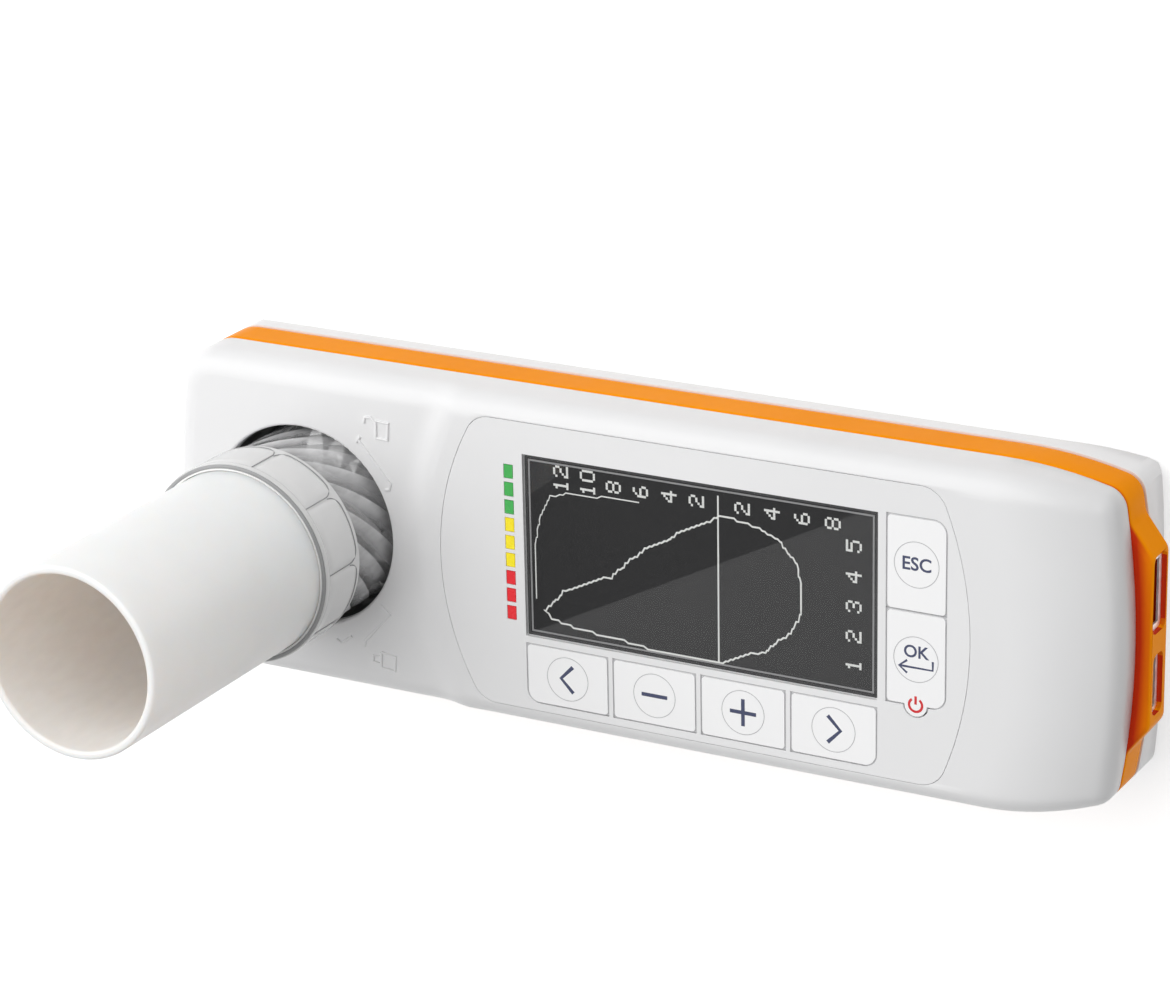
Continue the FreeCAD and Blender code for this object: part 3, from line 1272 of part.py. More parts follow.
def sensor_board():
    """Ring board round the sleeve that carries the infrared parts, cut away at the pillars."""
    high = "ring_board_thick"
    disc = rod("sensor_board_blank", "sleeve_radius + fit_gap + ring_board_wide", high, "axis_x", "0",
               "rest_top")
    bore = rod("sensor_board_bore", "sleeve_radius + fit_gap", high, "axis_x", "0", "rest_top")
    clear = [rod("sensor_board_clear_%d" % (at + 1), "pillar_radius + fit_gap * 5", high, x, y, "rest_top")
             for at, (x, y) in enumerate(pillar_places()[:2])]
    return cut("sensor_board", disc, grouped("sensor_board_cuts", [bore] + clear))


# Turbine

def turbine_body():
    """Clear turbine: tube with bayonet lugs, collar with grip pads and a front ring."""
    made = body("turbine_body")
    round_profile(made, "tube", [
        ("tube_bore", "tube_low"), ("tube_radius", "tube_low"), ("tube_radius", "collar_low"),
        ("collar_radius", "collar_low"), ("collar_radius", "collar_top - flange_high"),
        ("collar_radius + flange_out", "collar_top - flange_high"),
        ("collar_radius + flange_out", "collar_top"),
        ("seat_bore", "collar_top"), ("seat_bore", "mouth_seat"), ("tube_bore", "mouth_seat")])
    lug = sketch(made, "lug_plan", lift="lug_low")
    polygon(lug, [("cos(twist) * tube_bore + sin(twist) * lug_wide / 2 + tube_wall / 2 * cos(twist)",
                   "sin(twist) * tube_bore - cos(twist) * lug_wide / 2 + tube_wall / 2 * sin(twist)"),
                  ("cos(twist) * (tube_radius + lug_reach) + sin(twist) * lug_wide / 2",
                   "sin(twist) * (tube_radius + lug_reach) - cos(twist) * lug_wide / 2"),
                  ("cos(twist) * (tube_radius + lug_reach) - sin(twist) * lug_wide / 2",
                   "sin(twist) * (tube_radius + lug_reach) + cos(twist) * lug_wide / 2"),
                  ("cos(twist) * tube_bore - sin(twist) * lug_wide / 2 + tube_wall / 2 * cos(twist)",
                   "sin(twist) * tube_bore + cos(twist) * lug_wide / 2 + tube_wall / 2 * sin(twist)")])
    lugs = pad(made, lug, "lug_high", "bayonet_lug")
    doc.recompute()
    spread_round(made, [lugs], "2", "bayonet_lugs")
    grip = sketch(made, "grip_profile", "XZ_Plane")
    middle = "(collar_low + collar_top - flange_high) / 2"
    rectangle(grip, "collar_radius - collar_wall / 2", middle + " - pad_high / 2",
              "collar_radius + pad_proud", middle + " + pad_high / 2")
    grips = turn_about(made, grip, "grip_pad", angle="pad_wide / collar_radius * 180 / pi")
    doc.recompute()
    spread_round(made, [grips], "pad_count", "grip_pads")
    place(made, "axis_x", "0", "0")
    return made


def stator(label, low, way):
    """A stator: ring, hub with the pivot cup's pocket, and leaning blades between them."""
    made = body(label)
    round_profile(made, label + "_ring", [
        ("stator_out - stator_ring", low), ("stator_out", low),
        ("stator_out", low + " + stator_high"), ("stator_out - stator_ring", low + " + stator_high")])
    drawn = sketch(made, label + "_blade_profile", "YZ_Plane", lift="stator_hub / 2")
    lean = "%d * stator_lean / 2" % way
    top = low + " + stator_high"
    polygon(drawn, [("-(%s) - stator_blade / 2" % lean, low), ("stator_blade / 2 - (%s)" % lean, low),
                    ("%s + stator_blade / 2" % lean, top), ("%s - stator_blade / 2" % lean, top)])
    blade = pad(made, drawn, "stator_out - stator_ring / 2 - stator_hub / 2", label + "_blade")
    doc.recompute()
    spread_round(made, [blade], "stator_blades", label + "_blades")
    hub = sketch(made, label + "_hub_plan", lift=low)
    circle(hub, "stator_hub")
    pad(made, hub, "stator_high", label + "_hub")
    seat = sketch(made, label + "_cup_plan", lift=low if way > 0 else low + " + stator_high")
    circle(seat, "cup_radius")
    pocket(made, seat, "cup_deep", label + "_cup_seat", up=way > 0)
    place(made, "axis_x", "0", "0")
    return made


def pivot_cups():
    """Cups that carry the ends of the rotor's shaft, one in each stator's hub."""
    cups = []
    for name, low, hole in (("front_cup", "front_stator_low", "front_stator_low"),
                            ("rear_cup", "rear_stator_low + stator_high - cup_deep",
                             "rear_stator_low + stator_high - shaft_in_cup - end_float")):
        outer = rod(name + "_outer", "cup_radius", "cup_deep", "axis_x", "0", low)
        bore = rod(name + "_bore", "shaft_radius + run_gap", "shaft_in_cup + end_float", "axis_x", "0", hole)
        cups.append(cut(name, outer, bore))
    return grouped("pivot_cups", cups)


def rotor_shaft():
    """Steel shaft of the rotor, from cup to cup."""
    low = "rear_stator_low + stator_high - shaft_in_cup"
    made = rod("rotor_shaft", "shaft_radius", "front_stator_low + shaft_in_cup - (%s)" % low, "axis_x", "0",
               low)
    made.Label = "rotor_shaft"
    return made


def rotor_vane():
    """Flat vane of the rotor, with the sleeve that grips the shaft."""
    made = body("rotor_vane")
    plate = sketch(made, "vane_plan", lift="lamp_level - vane_high / 2")
    rectangle(plate, "-vane_reach", "-vane_thick / 2", "vane_reach", "vane_thick / 2")
    pad(made, plate, "vane_high", "vane_plate")
    hub = sketch(made, "vane_hub_plan", lift="lamp_level - vane_high / 2 - end_float")
    circle(hub, "vane_hub")
    pad(made, hub, "vane_high + end_float * 2", "vane_sleeve")
    hole = sketch(made, "vane_hole_plan", lift="lamp_level - vane_high")
    circle(hole, "shaft_radius")
    pocket(made, hole, "vane_high * 2", "vane_bore", up=True)
    place(made, "axis_x", "0", "0")
    return made


def mouthpiece():
    """Card mouthpiece, seated in the collar, with a softened open end."""
    made = body("mouthpiece")
    round_profile(made, "card_tube", [
        ("mouth_radius - mouth_wall", "mouth_seat + fit_gap * 3"),
        ("mouth_radius", "mouth_seat + fit_gap * 3"),
        ("mouth_radius", "mouth_top"), ("mouth_radius - mouth_wall", "mouth_top")])
    doc.recompute()
    top = value("mouth_top")
    rim = edges_where(made.Tip, lambda edge: edge.BoundBox.ZMin > top - 1e-6)
    soften(made, rim, "mouth_edge", "open_end")
    place(made, "axis_x", "0", "0")
    return made


# Assembly

SCALE_STEPS = 9
COLOUR_STEPS = 3

pieces = [front_shell(), mid_band(), rear_shell(), panel_film(), display_window(), display_module()]
pieces += [key(label) for label in BOTTOM_KEYS + SIDE_KEYS]
pieces += [scale_part(label, first * COLOUR_STEPS)
           for first, label in enumerate(("scale_green", "scale_yellow", "scale_red"))]
pieces += [key_board(), snap_domes(), main_board(), case_screws(), board_screws()]
pieces += [battery_pack(), battery_door(), door_screw()]
pieces += [port("charging_port", "-slim_port_at", "usb_long", "usb_high"),
           port("sensor_port", "wide_port_at", "sensor_long", "sensor_high")]
pieces += small_parts()
pieces += [socket_sleeve(), lamps("infrared_lamps", ((1, 0), (0, 1))),
           lamps("infrared_detectors", ((-1, 0), (0, -1))), sensor_board()]
pieces += [turbine_body(), stator("front_stator", "front_stator_low", 1),
           stator("rear_stator", "rear_stator_low", -1), pivot_cups(), rotor_shaft(), rotor_vane(),
           mouthpiece()]
doc.recompute()

for thing in doc.Objects:
    if "Invalid" in thing.State or "Error" in thing.State:
        raise RuntimeError("%s could not be built: %s" % (thing.Label, thing.State))
for piece in pieces:
    if piece.Shape.isNull() or not piece.Shape.isValid():
        raise RuntimeError("%s has no valid shape" % piece.Label)
for piece in pieces:
    piece.Shape.exportStep("parts/%s.step" % piece.Label)
    print(piece.Label, round(piece.Shape.Volume, 1), "mm3")
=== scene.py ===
import json
import math

import bmesh
import bpy
from mathutils import Matrix, Vector


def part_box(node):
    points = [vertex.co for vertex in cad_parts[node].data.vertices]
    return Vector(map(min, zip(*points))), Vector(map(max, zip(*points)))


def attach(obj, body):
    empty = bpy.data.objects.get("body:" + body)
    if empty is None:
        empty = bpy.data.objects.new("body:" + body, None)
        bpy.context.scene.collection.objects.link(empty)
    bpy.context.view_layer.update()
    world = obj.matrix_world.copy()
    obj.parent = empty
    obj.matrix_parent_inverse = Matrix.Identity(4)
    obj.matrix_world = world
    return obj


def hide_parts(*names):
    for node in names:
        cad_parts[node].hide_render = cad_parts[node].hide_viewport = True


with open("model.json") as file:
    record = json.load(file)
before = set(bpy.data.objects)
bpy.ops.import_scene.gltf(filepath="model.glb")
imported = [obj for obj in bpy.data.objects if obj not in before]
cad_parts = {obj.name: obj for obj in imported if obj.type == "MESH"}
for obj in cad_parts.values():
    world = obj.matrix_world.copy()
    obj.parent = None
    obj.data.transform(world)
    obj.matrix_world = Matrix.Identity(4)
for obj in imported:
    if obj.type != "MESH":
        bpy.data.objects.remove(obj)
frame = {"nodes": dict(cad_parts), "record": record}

bl_info = {
    "name": "Handheld spirometer",
    "version": (1, 0, 0),
    "blender": (4, 5, 0),
    "location": "View3D > Sidebar > Spirometer",
    "description": "Dresses the packed handheld spirometer with its finishes and fine pieces",
    "category": "Object",
}

for left_over in ("Cube", "Light", "Camera"):
    if left_over in bpy.data.objects:
        bpy.data.objects.remove(bpy.data.objects[left_over])

MM = 0.001
NODES = frame["nodes"]
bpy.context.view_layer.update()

KEYS = ("key_left", "key_minus", "key_plus", "key_right", "key_escape", "key_confirm")


def low_high(node):
    """Lowest and highest corner of a CAD node, in millimetres."""
    low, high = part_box(node)
    return Vector(low) / MM, Vector(high) / MM


def middle(node):
    """Centre of a CAD node's box, in millimetres."""
    low, high = low_high(node)
    return (low + high) / 2


# All sizes and places below are in millimetres, and turns in degrees, unless their use says otherwise.

AXIS = middle("mouthpiece").xy  # the turbine's upright axis
FACE = low_high("panel_film")[1].z
LOW_FACE = FACE - 1.2  # the face round the turbine lies lower than the panel
TUBE_LOW = low_high("turbine_body")[0].z
TUBE_TOP = low_high("turbine_body")[1].z
WINDOW_LOW, WINDOW_HIGH = low_high("display_window")
SCREEN_LEVEL = WINDOW_LOW.z + 0.04  # top of the display under its window

INK_HIGH = 0.014  # thickness of a printed symbol
RING_HIGH = 0.012  # thickness of the printed ring round it
SKIRT_GAP = 0.17  # how far the web shows round a key
CONFIRM_DEEP = 14.4  # size of the confirming key along y without its power tab
PICTURE_HIGH = 0.02  # thickness of what the display shows

TUBE_INNER, TUBE_OUTER = 13.9, 15.2  # radii of the turbine's clear tube
COLLAR_LOW = 32.6  # lower edge of the collar
COLLAR_RADIUS = 15.9
LIP_INNER, LIP_OUTER = 15.1, 15.42  # radii of the bright lip
HUB_RADIUS = 2.6

BOSS_LEVEL = 12.6  # height of both sockets' centres
PORT_DEPTH = 1.15  # how far their metal faces lie behind the boss
PORT_FACES = {  # middle across, width, height and rim of each socket's metal face
    "charging_port": (-6.1, 9.4, 3.7, 0.75),
    "sensor_port": (8.0, 11.9, 4.9, 0.95),
}

CAMERA_PLACE = Vector((283.8, 230.7, 550.0))
CAMERA_TURN = ((0.87872, -0.14705, 0.45412), (-0.01950, 0.93951, 0.34196), (-0.47694, -0.30934, 0.82270))
CAMERA_LENS = 130.27
SHADE_EDGE = ((-9.27, -7.24), (37.02, 16.39))  # ends of the slanting shade's edge on the display


# Settings

def colour_setting(title, description, default):
    """A colour that the panel shows."""
    return bpy.props.FloatVectorProperty(name=title, description=description, subtype="COLOR", size=3,
                                         default=default, min=0, max=1)


def length_setting(title, description, default, low, high):
    """A length that the panel shows, given in millimetres."""
    return bpy.props.FloatProperty(name=title, description=description, unit="LENGTH", precision=5,
                                   default=default * MM, min=low * MM, max=high * MM)


class SpirometerSettings(bpy.types.PropertyGroup):
    """Colours and sizes that the finishing pieces take."""

    shell_colour: colour_setting("Shells", "Colour of both white shells", (0.84, 0.84, 0.845))
    band_colour: colour_setting("Band", "Colour of the band between the shells", (1.0, 0.315, 0.001))
    # The band's painted shade: dark red for the shade on its end ledge and inside its openings.
    band_painted_shade_colour: colour_setting(
        "Band painted shade", "Colour of the band's end ledge and of its openings", (0.62, 0.036, 0.008))
    panel_colour: colour_setting("Panel", "Colour of the panel film", (0.85, 0.85, 0.855))
    key_colour: colour_setting("Keys", "Colour of the key caps", (0.97, 0.97, 0.975))
    legend_colour: colour_setting("Key symbols", "Colour of the key symbols", (0.045, 0.055, 0.12))
    power_colour: colour_setting("Power symbol", "Colour of the power symbol", (0.65, 0.02, 0.025))
    card_colour: colour_setting("Card", "Outside of the mouthpiece", (0.91, 0.895, 0.87))
    card_inside_colour: colour_setting("Card inside", "Inside of the mouthpiece", (0.93, 0.87, 0.82))
    screen_colour: colour_setting("Screen", "Colour of the dark display", (0.047, 0.047, 0.048))
    edge_softness: length_setting(
        "Edge softness", "Width of the small bevel on moulded edges", 0.12, 0.0, 0.5)
    skirt_colour: colour_setting(
        "Key skirts", "Colour of the soft web seen in the gap round each key", (0.55, 0.55, 0.56))
    line_width: length_setting("Symbol stroke", "Width of the strokes of a key symbol", 0.62, 0.1, 1.5)
    ring_radius: length_setting("Key ring", "Radius of the thin ring round each key symbol", 3.55, 1, 5)
    fin_count: bpy.props.IntProperty(
        name="Fins", description="Swept fins in each stator of the turbine", default=12, min=3, max=20)
    fin_sweep: bpy.props.FloatProperty(
        name="Fin sweep", description="Turn of a fin from its front to its rear edge", subtype="ANGLE",
        default=math.radians(40), min=0, max=math.radians(120))
    fin_curl: bpy.props.FloatProperty(
        name="Fin curl", description="Turn of a fin's edge from the hub to the wall", subtype="ANGLE",
        default=math.radians(34), min=0, max=math.radians(90))
    grip_count: bpy.props.IntProperty(
        name="Grip pads", description="Grip pads round the clear collar", default=9, min=0, max=20)
    lamp_power: bpy.props.FloatProperty(
        name="Key lamp", description="Power of the large soft lamp", unit="POWER", default=5.75, min=0)


def settings():
    """The settings kept on the scene."""
    return bpy.context.scene.spirometer


# Materials

def new_material(name):
    """An empty node material, with its tree and its shader."""
    material = bpy.data.materials.new(name)
    material.use_nodes = True
    tree = material.node_tree
    return material, tree, tree.nodes["Principled BSDF"]


def set_inputs(node, **values):
    """Set a node's own inputs by name."""
    for name, setting in values.items():
        node.inputs[name.replace("_", " ")].default_value = setting


def add(tree, kind, links=(), **values):
    """A node with some inputs set and some linked, given as (input, output socket)."""
    made = tree.nodes.new(kind)
    set_inputs(made, **values)
    for name, output in links:
        tree.links.new(output, made.inputs[name])
    return made


def places(tree, stretch=(1, 1, 1)):
    """Object coordinates, stretched."""
    source = tree.nodes.new("ShaderNodeTexCoord")
    mapping = add(tree, "ShaderNodeMapping", links=[("Vector", source.outputs["Object"])], Scale=stretch)
    return mapping.outputs["Vector"]


def noise(tree, scale, detail=3.0, stretch=(1, 1, 1)):
    """Value of a noise that repeats at 1 / scale metres."""
    made = add(tree, "ShaderNodeTexNoise", links=[("Vector", places(tree, stretch))], Scale=scale,
               Detail=detail)
    return made.outputs["Fac"]


def drifting(tree, scale, detail=3.0, stretch=(1, 1, 1), low=0, high=1):
    """A noise spread over a range."""
    return ranged(tree, noise(tree, scale, detail, stretch), 0.3, 0.7, low, high)


def ranged(tree, source, low, high, to_low, to_high):
    """A value moved from one range to another, and held inside it."""
    made = add(tree, "ShaderNodeMapRange", links=[("Value", source)], From_Min=low, From_Max=high,
               To_Min=to_low, To_Max=to_high)
    return made.outputs["Result"]


def blended(tree, share, first, second):
    """A colour mixed from two, each a colour or an output socket."""
    made = tree.nodes.new("ShaderNodeMix")
    made.data_type = "RGBA"
    tree.links.new(share, made.inputs["Factor"])
    for at, colour in ((6, first), (7, second)):
        if isinstance(colour, bpy.types.NodeSocket):
            tree.links.new(colour, made.inputs[at])
        else:
            made.inputs[at].default_value = (*colour, 1)
    return made.outputs[2]


def scaled(colour, share):
    """A colour made lighter or darker."""
    return tuple(min(1.0, part * share) for part in colour)


def clouded(tree, shader, colour, scale, share):
    """A base colour that drifts a little over the surface."""
    tree.links.new(blended(tree, drifting(tree, scale), scaled(colour, 1 - share), scaled(colour, 1 + share)),
                   shader.inputs["Base Color"])


def uneven(tree, shader, low, high, scale, stretch=(1, 1, 1)):
    """A roughness that drifts between two values."""
    tree.links.new(drifting(tree, scale, 3.0, stretch, low, high), shader.inputs["Roughness"])


def grained(tree, shader, scale, deep, strength=0.5, stretch=(1, 1, 1)):
    """A fine grain in the surface, deep in metres."""
    bump = add(tree, "ShaderNodeBump", links=[("Height", noise(tree, scale, 2.0, stretch))],
               Strength=strength, Distance=deep)
    tree.links.new(bump.outputs["Normal"], shader.inputs["Normal"])


def surface(name, clouds, gloss, **values):
    """A material with a drifting colour, an uneven roughness and plain values, with tree and shader."""
    material, tree, shader = new_material(name)
    clouded(tree, shader, *clouds)
    uneven(tree, shader, *gloss)
    set_inputs(shader, **values)
    return material, tree, shader


def moulded(name, colour, low=0.30, high=0.38, grain=2600.0, deep=0.000012, share=0.012):
    """Moulded plastic: a spark-eroded grain under an even colour."""
    material, tree, shader = surface(name, (colour, 45.0, share), (low, high, 160.0), IOR=1.46)
    grained(tree, shader, grain, deep)
    return material


def combined(tree, how, first, second=0):
    """Two values joined by one arithmetic step; the second may be a number, or is left out."""
    made = tree.nodes.new("ShaderNodeMath")
    made.operation = how
    tree.links.new(first, made.inputs[0])
    if isinstance(second, bpy.types.NodeSocket):
        tree.links.new(second, made.inputs[1])
    else:
        made.inputs[1].default_value = second
    return made.outputs[0]


def split(tree, output):
    """The three parts of a vector."""
    parts = add(tree, "ShaderNodeSeparateXYZ", links=[("Vector", output)]).outputs
    return parts["X"], parts["Y"], parts["Z"]


def band_plastic(colour, painted_shade_colour):
    """Orange moulding with painted shade: dark red painted on its end ledge and in its openings, where shade
    falls.
    """
    material, tree, shader = new_material("orange_with_painted_shade")
    source = tree.nodes.new("ShaderNodeTexCoord")
    facing_y, facing_z = split(tree, source.outputs["Normal"])[1:]
    x, y, z = split(tree, source.outputs["Object"])
    upward = ranged(tree, facing_z, 0.3, 0.7, 0, 1)
    # Painted shade: dark red on the up-facing end ledge, darkest by the shell, and on the walls of the
    # openings.
    ledge = combined(tree, "MULTIPLY", upward, near_shell_end(tree, x, y))
    flat = combined(tree, "MAXIMUM", combined(tree, "ABSOLUTE", facing_y),
                    combined(tree, "ABSOLUTE", facing_z))
    wall = combined(tree, "MULTIPLY", ranged(tree, flat, 0.96, 0.98, 0, 1), in_openings(tree, x, y, z))
    top = blended(tree, drifting(tree, 60.0), scaled(colour, 0.97), scaled(colour, 1.03))
    tree.links.new(blended(tree, combined(tree, "MAXIMUM", ledge, wall), top, painted_shade_colour),
                   shader.inputs["Base Color"])
    uneven(tree, shader, 0.28, 0.36, 140.0)
    grained(tree, shader, 2400.0, 0.00001)
    set_inputs(shader, IOR=1.46, Specular_IOR_Level=0.02)
    return material


def near_shell_end(tree, x, y):
    """Mask of the painted shade on the end ledge: 1 close to the bowed right end of the front shell, 0.25
    further out, and 0 along the sides.
    """
    bow, past_sides, past_end = 3.85, (0.0700, 0.0745), (0.0800, 0.0820)  # for lengths in metres
    bowed = combined(tree, "ADD", x, combined(tree, "MULTIPLY", combined(tree, "MULTIPLY", y, y), bow))
    return combined(tree, "MULTIPLY", ranged(tree, bowed, *past_end, 1, 0.25),
                    ranged(tree, x, *past_sides, 0, 1))


def in_openings(tree, x, y, z):
    """1 in the room that both openings of the boss take up, and 0 outside it; the walls there take painted
    shade.
    """
    mouth, half_width, half_height = (0.0778, 0.0780), (0.0143, 0.0145), (0.0026, 0.0027)  # metres
    within = combined(tree, "MULTIPLY", ranged(tree, x, *mouth, 0, 1),
                      ranged(tree, combined(tree, "ABSOLUTE", y), *half_width, 1, 0))
    off_level = combined(tree, "ABSOLUTE", combined(tree, "SUBTRACT", z, BOSS_LEVEL * MM))
    return combined(tree, "MULTIPLY", within, ranged(tree, off_level, *half_height, 1, 0))


def panel_print(colour):
    """Polyester film with a fine stipple, printed light grey behind."""
    material, tree, shader = surface("panel_film_print", (colour, 30.0, 0.012), (0.34, 0.44, 220.0))
    dots = add(tree, "ShaderNodeTexVoronoi", links=[("Vector", places(tree))], Scale=3200.0)
    bump = add(tree, "ShaderNodeBump", links=[("Height", dots.outputs["Distance"])], Strength=0.18,
               Distance=0.00001)
    tree.links.new(bump.outputs["Normal"], shader.inputs["Normal"])
    return material


def window_sheet():
    """Clear hard-coated window over the display: all but see-through, its shine is the display's own."""
    return surface("window_sheet", ((0.05, 0.05, 0.052), 20.0, 0.05), (0.0, 0.006, 60.0),
                   Alpha=0.08, IOR=1.46)[0]


def display_glass(colour):
    """Dark display with a faint grid of picture cells."""
    material, tree, shader = new_material("display_glass")
    grid = add(tree, "ShaderNodeTexBrick", links=[("Vector", places(tree))], Scale=1.0, Mortar_Size=0.00004,
               Brick_Width=0.00046, Row_Height=0.00046)
    grid.offset = 0.0
    set_inputs(grid, Color1=(*scaled(colour, 1.01), 1), Color2=(*scaled(colour, 0.99), 1),
               Mortar=(*scaled(colour, 0.98), 1))
    tree.links.new(grid.outputs["Color"], shader.inputs["Base Color"])
    uneven(tree, shader, 0.0, 0.006, 60.0)
    set_inputs(shader, IOR=1.46)
    return material


def printed(name, colour, low=0.35, high=0.5):
    """Screen-printed ink: nearly even, a little broken at the finest scale."""
    return surface(name, (colour, 900.0, 0.05), (low, high, 700.0))[0]


def lit_marks(name, colour, glow):
    """Bright picture cells of the display."""
    return surface(name, (colour, 700.0, 0.04), (0.4, 0.5, 500.0), Emission_Color=(*colour, 1),
                   Emission_Strength=glow)[0]


def light_guide(name, colour, glow=0.12):
    """Tinted light guide of the flow scale, softly lit from below."""
    return surface(name, (colour, 500.0, 0.05), (0.2, 0.3, 400.0), Emission_Color=(*colour, 1),
                   Emission_Strength=glow, Subsurface_Weight=0.1, Subsurface_Scale=0.001)[0]


def round_the_axis(tree):
    """Object coordinates measured from the turbine's axis."""
    source = tree.nodes.new("ShaderNodeTexCoord")
    moved = add(tree, "ShaderNodeMapping", links=[("Vector", source.outputs["Object"])],
                Location=(-AXIS.x * MM, -AXIS.y * MM, 0))
    return moved.outputs["Vector"]


def wound_card(colour, inside):
    """Coated card tube: smooth white outside, plain fibre inside."""
    material, tree, shader = new_material("wound_card")
    flat = add(tree, "ShaderNodeVectorMath", links=[(0, round_the_axis(tree))])
    flat.operation = "MULTIPLY"
    flat.inputs[1].default_value = (1, 1, 0)
    length = add(tree, "ShaderNodeVectorMath", links=[(0, flat.outputs["Vector"])])
    length.operation = "LENGTH"
    fibre_end, coat_start = 0.01395, 0.01435  # radii in metres
    outer = ranged(tree, length.outputs["Value"], fibre_end, coat_start, 0, 1)
    coat = blended(tree, drifting(tree, 90.0, 4.0), scaled(colour, 0.985), scaled(colour, 1.015))
    fibres = drifting(tree, 700.0, 4.0, (1, 1, 0.35))
    fibre = blended(tree, fibres, scaled(inside, 0.975), scaled(inside, 1.02))
    tree.links.new(blended(tree, outer, fibre, coat), shader.inputs["Base Color"])
    uneven(tree, shader, 0.36, 0.5, 240.0)
    grained(tree, shader, 900.0, 0.00001, 0.3, (1, 1, 0.4))
    set_inputs(shader, Subsurface_Weight=0.6, Subsurface_Radius=(1.0, 0.75, 0.6), Subsurface_Scale=0.005)
    return material


def clear_moulding(name, colour, face_on, edge_on):
    """Clear moulded plastic: thin where seen face on, dense along its edges, with faint flow marks."""
    material, tree, shader = surface(name, (colour, 120.0, 0.02), (0.06, 0.14, 200.0), IOR=1.49)
    grained(tree, shader, 260.0, 0.00002, 0.3, (1, 1, 0.25))
    facing = add(tree, "ShaderNodeLayerWeight", Blend=0.35).outputs["Facing"]
    tree.links.new(ranged(tree, facing, 0.0, 0.9, face_on, edge_on), shader.inputs["Alpha"])
    return material


def swirled_moulding(count):
    """The clear tube: pale bands wind round it where the fins are moulded to its wall."""
    material, tree, shader = surface("swirled_moulding", ((0.82, 0.82, 0.83), 120.0, 0.02),
                                     (0.08, 0.16, 200.0), IOR=1.49)
    twist = 60.0  # radians in a metre of height
    clear, pale = 0.05, 0.72
    x, y, z = split(tree, round_the_axis(tree))
    wound = combined(tree, "SUBTRACT", combined(tree, "ARCTAN2", y, x), combined(tree, "MULTIPLY", z, twist))
    share = combined(tree, "FRACT", combined(tree, "MULTIPLY", wound, count / math.tau))
    wisp = ranged(tree, noise(tree, 420.0, 3.0, (1, 1, 0.3)), 0.35, 0.65, 0.75, 1.1)
    band = combined(tree, "MINIMUM", ranged(tree, share, 0.0, 0.9, clear, pale),
                    ranged(tree, share, 0.93, 1.0, pale, clear))
    tree.links.new(combined(tree, "MULTIPLY", band, wisp), shader.inputs["Alpha"])
    return material


def metal(name, colour, low=0.22, high=0.36, stretch=(1, 1, 12)):
    """Bright metal with the fine lines of its rolling or turning."""
    material, tree, shader = surface(name, (colour, 300.0, 0.05), (low, high, 900.0, stretch), Metallic=1.0)
    grained(tree, shader, 1500.0, 0.000005, 0.3, stretch)
    return material


def circuit_board():
    """Green solder mask over faint copper runs."""
    material, tree, shader = new_material("solder_mask")
    runs = add(tree, "ShaderNodeTexBrick", links=[("Vector", places(tree))], Scale=1.0, Mortar_Size=0.00012,
               Brick_Width=0.0031, Row_Height=0.0012, Color1=(0.012, 0.11, 0.045, 1),
               Color2=(0.015, 0.13, 0.05, 1), Mortar=(0.04, 0.22, 0.09, 1))
    tree.links.new(runs.outputs["Color"], shader.inputs["Base Color"])
    uneven(tree, shader, 0.25, 0.4, 300.0)
    return material


def shrink_wrap():
    """Blue-grey shrink wrap, slightly puckered."""
    material, tree, shader = surface("shrink_wrap", ((0.09, 0.14, 0.24), 80.0, 0.08), (0.2, 0.4, 120.0))
    grained(tree, shader, 180.0, 0.0001, 0.4)
    return material


def seen_directly(tree):
    """1 for the rays that the camera or a reflection sends, and 0 for the rest, with the rays' node."""
    rays = tree.nodes.new("ShaderNodeLightPath")
    return combined(tree, "MAXIMUM", rays.outputs["Is Camera Ray"], rays.outputs["Is Glossy Ray"]), rays


def pale_floor():
    """White floor that shows as white and keeps soft shadows."""
    material, tree, shader = new_material("pale_floor")
    clouded(tree, shader, (0.70, 0.70, 0.70), 3.0, 0.01)
    set_inputs(shader, Roughness=0.9, Specular_IOR_Level=0.0, Emission_Color=(1, 1, 1, 1))
    tree.links.new(combined(tree, "MULTIPLY", seen_directly(tree)[0], 0.58),
                   shader.inputs["Emission Strength"])
    return material


def card_black():
    """Matt black of the card above the object."""
    material, tree, shader = new_material("card_black")
    clouded(tree, shader, (0.01, 0.01, 0.01), 5.0, 0.05)
    set_inputs(shader, Roughness=1.0)
    return material


# Pieces

def linked(name, data):
    """A mesh, curve, lamp or camera as an object of the scene."""
    piece = bpy.data.objects.new(name, data)
    bpy.context.scene.collection.objects.link(piece)
    return piece


def finished(piece, material, body):
    """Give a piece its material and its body."""
    piece.data.materials.clear()
    piece.data.materials.append(material)
    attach(piece, body)
    return piece


def mesh_from(bm, name="piece"):
    """A bmesh as a mesh, which ends the bmesh."""
    mesh = bpy.data.meshes.new(name)
    bm.to_mesh(mesh)
    bm.free()
    return mesh


def from_bmesh(name, bm, smooth=30):
    """An object from a bmesh, smooth where its faces meet at less than an angle."""
    mesh = mesh_from(bm, name)
    mesh.shade_smooth()
    mesh.set_sharp_from_angle(angle=math.radians(smooth))
    return linked(name, mesh)


def joined(name, meshes):
    """Several meshes as one object."""
    bm = bmesh.new()
    for mesh in meshes:
        bm.from_mesh(mesh)
        bpy.data.meshes.remove(mesh)
    return from_bmesh(name, bm, 40)


def meshed(curve):
    """A curve's own mesh."""
    holder = linked("curve", curve)
    state = bpy.context.evaluated_depsgraph_get()
    mesh = bpy.data.meshes.new_from_object(holder.evaluated_get(state))
    bpy.data.objects.remove(holder)
    return mesh


